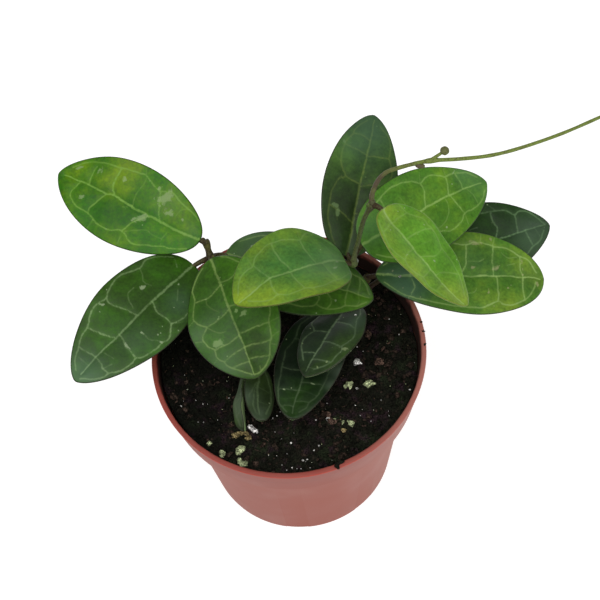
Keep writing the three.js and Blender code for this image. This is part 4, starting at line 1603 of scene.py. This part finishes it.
RIGHT_LOWER_VEINS = VeinMap(
    midrib=((0, -3), (8, -6), (14, -11), (30, -9), (52, -7), (60, -4), (71, -2), (81, 1), (87, 5), (93, 10),
        (97, 10)),
    loops=(
        ((5, 70), (13, 80), (22, 70), (32, 82), (42, 76), (51.7, 68), (56, 73), (61, 75), (67.2, 71),
         (71, 73), (75.5, 78), (81, 76), (84.5, 72), (90, 73), (95, 40)),
        ((5, -70), (14, -88), (22, -87), (29, -84), (38, -85), (45, -84), (54, -84), (59, -83), (64.5, -78),
         (69.4, -70), (73, -79), (76.5, -84), (81, -84), (86, -80), (89, -74), (93, -45), (94, -10)),
    ),
    laterals=(
        ((68, -2), (67.6, 23), (68, 50), (67.6, 72)), ((48, -7), (51.7, 24), (52.2, 43), (51.7, 68)),
        ((86, 4), (84.5, 30), (84.5, 68)), ((69.7, -3), (70, -28), (70, -55), (69.2, -70)),
        ((85.8, 3), (85.2, -43), (86, -78)), ((20, -10), (22, -45), (20, -78)),
        ((45, -8), (48, -40), (46, -84)), ((20, -10), (21, 30), (22, 70)),
    ),
    twigs=(
        ((62.4, 37), (59.2, 28), (53.3, 28)), ((57, -37), (55.4, -48), (51.5, -52)),
        ((83, 65), (77, 50), (73, 60)), ((81, 40), (76, 30)), ((60, 74), (61, 96)), ((67.2, 71), (69, 95)),
    ),
    splashes=((69.5, 18, 3, 1.6, 60), (55.2, 14, 3.2, 1.8, 80), (64.3, -45, 3, 1.5, -10),
        (57, 72, 5, 2.2, 88), (85, 60, 4, 1.8, 10), (86, 30, 1.6, 1.2, 0), (86, 12, 1, 0.8, 0),
        (78, -27, 0.9, 0.8, 0), (76, -35, 1.3, 0.8, 60), (14.5, -12, 1.2, 1.2, 0), (10, 12, 1, 0.7, 0),
        (20, -72, 1.2, 0.8, 0), (67, 90, 1.8, 1.2, 0), (95, -25, 2.6, 1, 0)),
)

FAR_RIGHT_VEINS = VeinMap(
    midrib=((0, -2), (50, -2), (71, -2), (83, 2), (91, 5), (97, 10)),
    loops=(
        ((5, 70), (15, 80), (28, 70), (38, 82), (48, 72), (56, 78), (62, 72), (67, 73), (72, 75), (77, 74),
         (80.7, 63), (84.5, 80), (88.5, 85), (92, 80), (95, 50), (97, 20)),
        ((5, -70), (15, -80), (26, -72), (38, -84), (46, -74), (56, -84), (66, -74), (73, -83), (80, -78),
         (84.5, -68), (90, -70), (95, -40)),
    ),
    laterals=(
        ((79, 0), (80, 27), (80.7, 63)), ((65, -2), (67.6, 26), (66.5, 40), (66.8, 73)),
        ((84, 2), (84.6, -35), (85, -66)), ((60, -2), (63, -40), (66, -74)), ((42, -2), (46, 35), (48, 72)),
        ((40, -2), (44, -40), (46, -74)), ((22, -2), (25, 35), (28, 70)), ((20, -2), (24, -35), (26, -72)),
    ),
    twigs=(
        ((67, 90), (70, 75)), ((90, 5), (91, -50)), ((46, 35), (56, 40)),
    ),
    splashes=((66, 42, 1.4, 1, 0), (56, 40, 1.4, 1, 0), (35, -30, 2.4, 1.4, 20)),
)

LOW_UPPER_VEINS = VeinMap(
    midrib=((0, -10), (20, -15), (32, -16), (43, -18), (57, -16), (70, -18), (84, -20), (95, -25)),
    loops=(
        ((6, 70), (18, 75), (27, 62), (35, 64), (41, 72), (48, 75), (55.5, 68), (60, 58), (65, 68),
         (70, 68), (78.5, 72), (86, 54), (91, 30)),
        ((6, -75), (20, -85), (30, -95), (37, -91), (42, -80), (47.3, -65), (52, -73), (60, -83), (66, -86),
         (71.5, -84), (77, -77), (85, -60)),
    ),
    laterals=(
        ((57, -16), (57.5, 5), (59, 25), (61, 54)), ((30, -16), (32, 24), (35, 48), (37.5, 63)),
        ((44.6, -18), (46, -46), (47.3, -64)), ((73, -18), (75, -50), (77, -77)),
        ((80, -19), (80, 20), (79, 68)),
    ),
    twigs=(
        ((90, -22), (90, 30)), ((62, 60), (63, 85)),
    ),
    splashes=((63, 72, 3.4, 1.7, 12), (21, 55, 1.9, 1, 60), (88, 40, 1.6, 0.6, 40), (67, 69, 0.8, 0.8, 0),
        (80, 55, 1.4, 0.7, 60), (66, -86, 1.2, 0.9, 0)),
)

LOW_LOWER_VEINS = VeinMap(
    midrib=((0, -3), (66, -2), (80, -3), (95, -4)),
    loops=(
        ((6, 70), (20, 80), (34, 70), (45, 78), (54, 72), (60, 72), (66.4, 73), (73, 74), (79.5, 75),
         (84.3, 63), (88.6, 65), (94, 50)),
        ((6, -70), (20, -78), (34, -68), (45, -78), (53, -76), (61.4, -76), (70, -78), (78.5, -85),
         (83, -87), (90, -85), (95, -50)),
    ),
    laterals=(
        ((85, -2), (84, 38), (83.8, 62)), ((68, -1), (67.4, 33), (66.2, 72)),
        ((75.7, -3), (77, -45), (79, -82)), ((58, -2), (60, -40), (61.4, -76)),
        ((89.3, -3), (90, -45), (92, -75)), ((30, -2), (33, 35), (34, 70)),
        ((30, -2), (32, -35), (34, -68)), ((48, -2), (53, 35), (54, 72)),
    ),
    twigs=(
        ((75.7, 0), (76, 40), (77, 72)), ((82, -3), (86, -55)),
    ),
    splashes=((67.5, 36, 1.8, 0.8, 15), (78, -60, 1.4, 0.7, 10), (32, 20, 2, 1, 0)),
)

SMALL_VEINS = VeinMap(
    midrib=((0, 0), (30, 0), (45, -6), (70, -16), (90, -22)),
    loops=(
        ((10, 60), (30, 70), (55, 75), (75, 70), (90, 40)),
        ((42, -10), (50, -25), (62, -42), (75, -55), (88, -50)),
    ),
    laterals=(
        ((35, -10), (50, -45), (62, -75)),
    ),
    twigs=(
        ((45, 0), (55, 62)), ((68, -12), (75, 50)), ((90, -8), (88, -50)),
    ),
    splashes=((72, 65, 1, 0.8, 0),),
)

FOLDED_VEINS = VeinMap(
    midrib=((0, 0), (95, 0)),
    loops=(
        ((10, 60), (40, 70), (70, 65), (92, 40)), ((10, -60), (40, -70), (70, -65), (92, -40)),
    ),
    laterals=(
        ((20, 0), (33, 68)), ((42, 0), (55, 68)), ((62, 0), (75, 60)), ((20, 0), (33, -68)),
        ((42, 0), (55, -68)), ((62, 0), (75, -60)),
    ),
    twigs=(),
    splashes=((40, -10, 1, 0.6, 0),),
)

# The joints that the leaves hang from.
MAIN_LOW = (28.5, 19, 114.5)
MAIN_MIDDLE = (27.5, 13, 123)
MAIN_TOP = (35.5, 21.5, 147)
LEFT_LOW = (-25, 31.5, 108.5)
LEFT_TOP = (-26, 35.5, 112.5)
RIGHT_LOW = (31.5, 19, 91)
RIGHT_TOP = (33, 20.5, 98.5)
LOW_FORK = (21, 15, 91)
SHOOT_FORK = (-14, -0.5, 86.5)

LEAVES = (
    Leaf(
        "leaf_upper_left", Slot.FRESH_LEAF, LEFT_TOP, (-28, 36, 114.5),
        heading=150, sweep=-5, pitch=16, bend=19, roll=-22,
        length=62, width=33, widest=1, veins=UPPER_LEFT_VEINS,
        finish=LeafFinish(
            body="#2F6A01", warm="#618001", deep="#215301", vein="#77A13E",
            splash="#8BA26C", bloom="#7A8A62",
            midrib_strength=0.66, net_strength=0.52, patchiness=1.0,
            warm_washes=(
                (62, -40, 8, 0.95), (30, -55, 7, 0.4), (58, -92, 5, 0.8), (45, 95, 9, 0.45),
                (13, -60, 7, 0.5), (90, -35, 5, 0.45), (86, 70, 6, 0.3), (84, -75, 6, 0.25),
            ),
            deep_and_shaded_washes=((58, 40, 8, 0.6), (45, 20, 7, 0.45), (45, -30, 6, 0.3), (75, 10, 6, 0.3)),
            painted_sheen_washes=((28, -50, 5.5, 0.12), (7, -10, 4, 0.15)),
        ),
    ),
    Leaf(
        "leaf_lower_left", Slot.MIDDLE_LEAF, LEFT_LOW, (-32, 30.5, 106.5),
        heading=-137, sweep=0, pitch=10, bend=21, roll=-12,
        length=64, width=34, widest=0.84, veins=LOWER_LEFT_VEINS,
        finish=LeafFinish(
            body="#294907", warm="#336805", deep="#1F3807", vein="#86A26A",
            bloom="#5C7C62",
            midrib_strength=0.48, net_strength=0.43,
            warm_washes=((15, -65, 9, 0.5), (62, -35, 8, 0.35), (55, 90, 5, 0.3)),
            deep_and_shaded_washes=((45, 30, 12, 0.4), (20, 20, 8, 0.4)),
            painted_sheen_washes=((95, 30, 9, 0.39), (25, 55, 6, 0.23), (60, 50, 8, 0.16)),
        ),
    ),
    Leaf(
        "leaf_centre_left", Slot.MIDDLE_LEAF, LEFT_LOW, (-25, 29, 111.5),
        heading=-75, sweep=-2, pitch=16, bend=46, roll=20,
        length=52.5, width=36, widest=1.13, veins=CENTRE_LEFT_VEINS,
        finish=LeafFinish(
            body="#315713", warm="#406F0C", deep="#293D13", vein="#819B53",
            splash="#86A064", bloom="#5A7556",
            midrib_strength=0.6, net_strength=0.45,
            warm_washes=((72, 85, 6, 0.9), (15, 50, 8, 0.5), (40, 10, 5, 0.4)),
            deep_and_shaded_washes=((75, 35, 7, 0.6), (85, 10, 8, 0.3), (15, -60, 8, 0.4), (95, 0, 6, 0.5)),
            painted_sheen_washes=((85, -85, 7, 0.26), (55, -90, 5, 0.2), (55, -40, 10, 0.1)),
        ),
    ),
    Leaf(
        "leaf_under_centre", Slot.DARK_LEAF, LEFT_LOW, (-19.5, 34.5, 105.5),
        heading=-32, sweep=11, pitch=7, bend=17, roll=7,
        length=60, width=32, widest=0.85, veins=UNDER_CENTRE_VEINS,
        finish=LeafFinish(
            body="#355917", warm="#467015", deep="#274215", vein="#87A157",
            bloom="#6C8F68",
            midrib_strength=0.4, net_strength=0.34,
            warm_washes=((90, -10, 7, 0.7), (72, -45, 7, 0.4)),
            # The deep wash at (20, 60) is painted shade over a place where the blade catches the light.
            deep_and_shaded_washes=((60, -90, 8, 0.5), (85, 50, 6, 0.4), (20, 60, 14, 1)),
            painted_sheen_washes=((12, 75, 9, 0.2),),
        ),
    ),
    Leaf(
        "leaf_centre", Slot.BRIGHT_LEAF, MAIN_MIDDLE, (24.5, 12, 126),
        heading=-169, sweep=22, pitch=45, bend=69, roll=9,
        length=48, width=34.4, widest=0.84, veins=CENTRE_VEINS,
        finish=LeafFinish(
            body="#47772B", warm="#7A9222", deep="#36632B", vein="#8DAD66",
            bloom="#61795A", margin="#4A4A1C",
            midrib_strength=0.5, net_strength=0.24, patchiness=0.5,
            warm_washes=(
                (97, 10, 10, 0.85), (75, 75, 7, 0.6), (50, 95, 6, 0.7), (25, 95, 6, 0.6),
                (62, -85, 7, 0.6), (35, -85, 7, 0.5),
            ),
            deep_and_shaded_washes=((50, -35, 10, 0.6), (30, -20, 7, 0.4), (70, -25, 6, 0.3)),
            painted_sheen_washes=((20, 40, 8, 0.3), (8, -10, 7, 0.33), (40, 30, 6, 0.15)),
        ),
    ),
    Leaf(
        "leaf_top", Slot.DARK_LEAF, MAIN_LOW, (25.5, 21.5, 114.5),
        heading=70, sweep=4, pitch=29, bend=31, roll=17,
        length=58, width=28.5, widest=0.87, veins=TOP_VEINS,
        finish=LeafFinish(
            body="#2A4419", warm="#46691D", deep="#1F3010", vein="#70833B",
            splash="#66804E", bloom="#54755A",
            midrib_strength=0.42, net_strength=0.27,
            warm_washes=((65, 85, 7, 0.6), (46, -70, 6, 0.5)),
            deep_and_shaded_washes=((20, 0, 10, 0.7), (32, 50, 8, 0.5), (45, 10, 9, 0.4)),
            painted_sheen_washes=((88, 10, 11, 0.39), (70, 60, 6, 0.2)),
        ),
    ),
    Leaf(
        "leaf_right_upper", Slot.FRESH_LEAF, MAIN_MIDDLE, (31, 20, 124),
        heading=26, sweep=5, pitch=0, bend=22, roll=25,
        length=60, width=32.5, widest=0.79, veins=RIGHT_UPPER_VEINS,
        finish=LeafFinish(
            body="#44731D", warm="#688C1E", deep="#345E1A", vein="#90B25E",
            bloom="#6A9068",
            midrib_strength=0.55, net_strength=0.42,
            warm_washes=((68, 15, 6, 0.4), (72, 85, 3.5, 0.6), (60, -80, 6, 0.4), (45, 30, 7, 0.3)),
            deep_and_shaded_washes=((85, 50, 8, 0.4), (60, -30, 7, 0.3), (10, 10, 8, 0.3)),
            painted_sheen_washes=((93, 10, 7, 0.16), (85, 85, 5, 0.2), (10, 30, 6, 0.2)),
        ),
    ),
    Leaf(
        "leaf_right_front", Slot.BRIGHT_LEAF, MAIN_TOP, (39.5, 18.5, 149),
        heading=-54, sweep=5, pitch=-19, bend=13, roll=-27,
        length=45.5, width=27, widest=0.72, veins=RIGHT_FRONT_VEINS,
        finish=LeafFinish(
            body="#568B24", warm="#7A9330", deep="#477A21", vein="#9BBB6B",
            margin="#6E7A30",
            midrib_strength=0.5, net_strength=0.2, patchiness=0.5,
            warm_washes=(
                (97, 0, 8, 0.8), (50, -85, 7, 0.7), (20, -80, 6, 0.5), (4, 0, 6, 0.7),
                (25, 90, 4, 0.35), (80, -60, 6, 0.5),
            ),
            deep_and_shaded_washes=((62, 35, 8, 0.3), (35, 40, 8, 0.2)),
        ),
    ),
    Leaf(
        "leaf_right_lower", Slot.FRESH_LEAF, RIGHT_TOP, (36, 20, 101),
        heading=-6, sweep=4, pitch=5, bend=31, roll=10,
        length=66.5, width=33.5, widest=1.18, veins=RIGHT_LOWER_VEINS,
        finish=LeafFinish(
            body="#487421", warm="#738B27", deep="#2D4D21", vein="#97B467",
            splash="#98986C", bloom="#5A7A68",
            midrib_strength=0.56, net_strength=0.48,
            warm_washes=(
                (75, -85, 7, 0.6), (85, 50, 6, 0.5), (60, -45, 5, 0.3), (97, 10, 5, 0.4),
                (62, 80, 5, 0.4),
            ),
            # The deep wash at the stalk, (8, 0), is painted shade on the leaf's base.
            deep_and_shaded_washes=(
                (8, 0, 14, 0.9), (25, -20, 9, 0.7), (90, -20, 6, 0.4), (62, 30, 7, 0.5),
                (75, 10, 6, 0.2),
            ),
            painted_sheen_washes=((20, -55, 7, 0.33), (12, 0, 6, 0.2)),
        ),
        tip=0.52,
        stalk_fresh=0.2,
    ),
    Leaf(
        "leaf_far_right", Slot.DARK_LEAF, RIGHT_LOW, (44.5, 26, 92),
        heading=13, sweep=-1, pitch=2, bend=7, roll=15,
        length=64, width=33.5, widest=0.97, veins=FAR_RIGHT_VEINS,
        finish=LeafFinish(
            body="#1A360B", warm="#254A0E", deep="#132A09", vein="#6D8E5E",
            bloom="#566B58",
            midrib_strength=0.56, net_strength=0.42,
            warm_washes=((62, 80, 6, 0.4),),
            deep_and_shaded_washes=((70, 20, 8, 0.3), (40, 0, 12, 0.3)),
            painted_sheen_washes=((92, -10, 9, 0.33), (80, -50, 7, 0.2)),
        ),
        stalk_fresh=0.2,
    ),
    Leaf(
        "leaf_low_upper", Slot.DARK_LEAF, LOW_FORK, (25.5, 10.5, 98),
        heading=-114, sweep=-15, pitch=24, bend=23, roll=17,
        length=40, width=24, widest=0.97, veins=LOW_UPPER_VEINS,
        finish=LeafFinish(
            body="#22301D", warm="#30461C", deep="#1C2A1B", vein="#748A66",
            splash="#8FA070",
            midrib_strength=0.47, net_strength=0.34,
            warm_washes=((62, 60, 7, 0.9), (85, 50, 6, 0.6), (40, 75, 5, 0.6)),
            deep_and_shaded_washes=((35, -60, 9, 0.8), (75, -50, 8, 0.7)),
            painted_sheen_washes=((30, 60, 5, 0.16),),
        ),
    ),
    Leaf(
        "leaf_low_lower", Slot.DARK_LEAF, LOW_FORK, (17.5, 11, 91),
        heading=-117, sweep=8, pitch=13, bend=10, roll=-4,
        length=50, width=25, widest=0.84, veins=LOW_LOWER_VEINS,
        finish=LeafFinish(
            body="#132311", warm="#213B11", deep="#0D160C", vein="#5C6E50",
            bloom="#6F7F6C",
            midrib_strength=0.4, net_strength=0.3,
            warm_washes=((92, 0, 7, 0.9), (75, 20, 6, 0.5)),
            deep_and_shaded_washes=((60, -70, 8, 0.6),),
            painted_sheen_washes=((50, 95, 3.5, 0.33), (65, 97, 2.5, 0.26)),
        ),
        tip=0.52,
    ),
    Leaf(
        "leaf_small", Slot.DARK_LEAF, SHOOT_FORK, (-12, -3.5, 87),
        heading=-94, sweep=5, pitch=8, bend=5, roll=-16,
        length=26.5, width=11.5, widest=1.12, veins=SMALL_VEINS,
        finish=LeafFinish(
            body="#263518", warm="#31451B", deep="#1D2A12", vein="#758C60",
            bloom="#5A6A58",
            midrib_strength=0.36, net_strength=0.23,
            warm_washes=((22, -40, 6, 0.9),),
            deep_and_shaded_washes=((65, 70, 5, 0.6), (90, 60, 4, 0.5)),
            painted_sheen_washes=((60, -85, 4, 0.39), (92, -30, 4, 0.3)),
        ),
        tip=0.38,
    ),
    Leaf(
        "leaf_folded", Slot.DARK_LEAF, SHOOT_FORK, (-17.5, -6, 85.5),
        heading=-100, sweep=12, pitch=8, bend=6, roll=50,
        length=26.5, width=7.5, widest=1.9, veins=FOLDED_VEINS,
        finish=LeafFinish(
            body="#161F06", warm="#243A07", deep="#0C1304", vein="#646F52",
            bloom="#5C6B55",
            midrib_strength=0.6, net_strength=0.3,
            warm_washes=((62, -60, 6, 0.9), (78, -60, 4, 0.5)),
            deep_and_shaded_washes=((20, -40, 8, 0.9),),
            painted_sheen_washes=((15, 50, 6, 0.4), (45, 60, 6, 0.6), (70, 50, 5, 0.6)),
        ),
        fold=38,
    ),
)

STEMS = (
    Stem(
        "stem_main_wood", "stem_main", Slot.GREEN_STEM, GREEN_FINISH,
        route=(
            (20, 27.5, 70), (20, 27.5, 84), (20, 27.5, 86.5), (22, 28, 93), (27, 25.5, 104), (28.5, 19, 114.5),
            (27.5, 13, 123), (28.5, 15, 127.5), (30, 17, 132), (32.5, 20, 140.5), (35.5, 21.5, 147),
            (36, 22.5, 149.5),
        ),
        radii=((0, 1.1), (0.4, 0.85), (1, 0.85)),
        tones=((0, 0), (0.35, 0.4), (0.5, 0.85), (0.8, 0.75), (0.95, 0.2), (1, 0.3)),
        swellings=(
            Swelling(MAIN_LOW, 1.4, 2.2), Swelling(MAIN_MIDDLE, 1.65, 2.2), Swelling(MAIN_TOP, 1.65, 2.0),
        ),
        buds=(
            Bud((34.4, 21.2, 148), (0.8, 0.7, 1.1), 20, 0.9),
            Bud((36.8, 20.4, 147.6), (0.8, 0.7, 0.9), 0, 0.1),
            Bud((28.2, 17.2, 115.6), (1.0, 0.8, 0.9), 40, 0.8),
        ),
    ),
    Stem(
        "bare_vine", "stem_main", Slot.GREEN_STEM, VINE_FINISH,
        route=(
            (35.5, 21.5, 146.5), (36, 23, 151), (37, 24, 154), (38.5, 25, 157), (40.5, 25.5, 159.5),
            (43, 25.5, 161.5), (49.5, 24.5, 165), (56.5, 23.5, 167.5), (66.5, 22.2, 168.4), (77, 22.5, 167.9),
            (87.5, 24.7, 167), (103, 30, 165), (118, 36.5, 163), (133, 43, 161.5), (138, 45.3, 160.9),
        ),
        radii=((0, 1.0), (0.25, 0.8), (0.45, 0.72), (0.9, 0.6), (1, 0.3)),
        tones=((0, 0.0), (0.25, 0.1), (0.45, 0.9), (0.6, 1.0), (1, 1.0)),
        swellings=(Swelling((56.5, 23.5, 167.5), 1.0, 2.0),),
        buds=(
            Bud((53, 23.2, 165.6), (1.7, 1.0, 0.9), -15, 0.0),
            Bud((56.5, 23.2, 167.8), (1.9, 0.8, 0.9), 5, 1.0),
            Bud((61.6, 24.8, 170.6), (1.6, 1.6, 1.5), 0, 0.4),
        ),
    ),
    Stem(
        "flower_spur", "stem_main", Slot.GREEN_STEM, VINE_FINISH,
        route=((56.0, 23.4, 167.3), (57.5, 23.7, 168.3), (59, 24, 169.3), (61.5, 24.7, 170.5)),
        radii=((0, 0.75), (1, 0.5)), tones=((0, 0.9), (1, 0.9)),
    ),
    Stem(
        "stem_left_wood", "stem_left", Slot.BROWN_STEM, BROWN_FINISH,
        route=(
            (-17, 23, 70), (-17, 23, 84), (-17, 23, 86.5), (-19, 25, 94), (-23, 29, 103), (-25, 31.5, 108.5),
            (-26, 35.5, 112.5), (-26.4, 36.4, 113.6),
        ),
        radii=((0, 1.1), (1, 1.0)), tones=((0, 0), (0.6, 0.1), (0.85, 0.35), (1, 0.1)),
        swellings=(Swelling(LEFT_LOW, 1.8, 2.2), Swelling(LEFT_TOP, 1.6, 1.8)),
        buds=(
            Bud((-26.8, 34.8, 113.4), (0.7, 0.6, 0.8), 0, 0.2),
            Bud((-24.2, 31.0, 110.0), (0.7, 0.6, 0.6), 0, 0.9),
            Bud((-27.0, 36.6, 114.0), (0.8, 0.7, 0.7), 0, 0.0),
        ),
    ),
    Stem(
        "stem_right_wood", "stem_right", Slot.BROWN_STEM, BROWN_FINISH,
        route=((31.5, 19, 70), (31.5, 19, 84), (31.5, 19, 91), (33, 20.5, 98.5), (33.2, 20.7, 99.6)),
        radii=((0, 1.05), (1, 0.9)), tones=((0, 0), (1, 0.3)),
        swellings=(Swelling(RIGHT_LOW, 1.6, 1.8), Swelling(RIGHT_TOP, 1.7, 1.8)),
    ),
    Stem(
        "stem_low_wood", "stem_low", Slot.BROWN_STEM, BROWN_FINISH,
        route=((20.5, 17, 70), (20.5, 17, 84), (20.5, 17, 87), (21, 15, 91), (21.1, 14.6, 92)),
        radii=((0, 1.05), (1, 0.9)), tones=((0, 0), (1, 0.3)), swellings=(Swelling(LOW_FORK, 1.6, 1.8),),
    ),
    Stem(
        "stem_shoot_wood", "stem_shoot", Slot.BROWN_STEM, BROWN_FINISH,
        route=((-14, 0, 70), (-14, 0, 80), (-14, -0.1, 84), (-14, -0.5, 86.5), (-14, -0.6, 87.3)),
        radii=((0, 1.0), (1, 0.8)), tones=((0, 0), (1, 0.3)), swellings=(Swelling(SHOOT_FORK, 1.45, 1.6),),
    ),
)

# Across and down in the photo's pixels, three half sizes and the turn, then the height for what lies
# above the peat, on the pot's lip or a leaf.
SEEN_GRAINS = {
    Grain.PERLITE: (
        (357, 363, 1.5, 1.35, 1.2, 0, 0), (251, 428, 1.2, 0.9, 0.9, -35, 0),
        (254, 431, 1.6, 0.9, 0.9, -40, 0), (357, 388, 0.6, 0.5, 0.4, 10, 0),
        (328.5, 420, 0.7, 0.6, 0.9, 0, 0), (355.7, 315, 0.4, 0.35, 0.3, 0, 103.3),
        (400, 276.7, 0.5, 0.4, 0.3, 0, 102.0),
    ),
    Grain.GREENISH: (
        (348, 386, 1.9, 1.4, 1.2, 60, 0), (369, 384, 2.1, 1.4, 1.2, 10, 0),
        (351, 423.5, 1.6, 0.9, 1, -50, 0), (343, 424, 0.9, 0.5, 0.6, 60, 0), (209, 443, 1, 0.8, 0.8, 20, 0),
        (222, 452, 1.5, 1.2, 1.1, 50, 0), (240, 450, 1.8, 1.5, 1.2, 35, 0), (239, 459, 0.9, 0.7, 0.7, 0, 0),
        (242, 463, 1.9, 1.1, 1, -10, 0), (335, 420, 0.4, 0.3, 0.3, 0, 0),
    ),
    Grain.HUSK: (
        (344, 431, 0.9, 0.7, 0.7, 0, 0), (236, 435, 1.6, 1.1, 0.9, 30, 0),
        (244, 434, 1.9, 0.9, 0.8, -30, 0), (248, 438, 1.2, 1.2, 0.9, 0, 0),
    ),
    Grain.BARK: (
        (327.5, 416, 2.2, 1.1, 1, -50, 0), (332, 422, 1.9, 1.2, 1, -40, 0),
        (368, 335, 1.1, 2.2, 1.1, 10, 0), (386, 346, 3, 0.5, 0.5, 40, 0), (379, 362, 1.9, 1.5, 0.9, 20, 0),
    ),
    Grain.CRUMB: (
        (337, 466, 0.9, 1.4, 0.8, 0, 86.3), (341, 462.5, 1.2, 0.8, 0.7, 20, 86.3),
        (426, 331, 0.6, 0.4, 0.4, 0, 86.3), (428.5, 344.5, 0.6, 0.4, 0.4, 50, 86.3),
        (423, 322, 0.5, 0.3, 0.4, 0, 86.3),
    ),
}

# White specks, partly perlite and partly painted glints of the damp peat: across and down in the photo's
# pixels, and the size.
SEEN_SPECKS_AND_GLINTS = (
    (181.5, 408.5, 0.5), (196, 401, 0.24), (204, 424, 0.24), (221, 423.5, 0.28), (212, 421, 0.18),
    (229, 398, 0.18), (389, 319, 0.34), (399, 334, 0.28), (410, 389, 0.4), (381, 399, 0.24),
    (355, 405, 0.32), (387, 374, 0.22), (292.5, 468, 0.5), (291, 443, 0.45), (319, 445, 0.42),
    (314, 450, 0.32), (268.5, 455, 0.22), (282, 465, 0.2), (303, 460, 0.42), (307, 459, 0.34),
    (316, 421, 0.3), (357.5, 347.5, 0.26), (277, 416, 0.3), (280, 412, 0.24), (203, 404, 0.22),
    (185, 376, 0.2), (213.5, 389.5, 0.16), (294, 433, 0.2), (389, 415, 0.18), (369.5, 417, 0.18),
    (297, 468.5, 0.24), (301, 468, 0.26), (310, 467, 0.26), (286.5, 469.5, 0.22), (305.5, 461, 0.24),
    (273, 419, 0.3), (287, 452.5, 0.22), (275, 432, 0.18), (198.7, 424, 0.18), (327, 404, 0.22),
    (352.5, 422.3, 0.5),
)


def main() -> None:
    """Builds the plant from the pot up, then the studio and the camera."""
    logging.basicConfig(level=logging.INFO, format="%(message)s")
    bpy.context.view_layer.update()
    noise.seed_set(WANDER_SEED)
    camera = Camera()
    Pot().build()
    Soil(camera, seen=SEEN_GRAINS, seen_specks_and_glints=SEEN_SPECKS_AND_GLINTS).build()
    for stem in STEMS:
        stem.build()
    bark = STALK_FINISH.material("leaf stalk bark")
    for leaf in LEAVES:
        leaf.build(bark)
    Studio().build()
    camera.build()


if __name__ == "__main__":
    main()
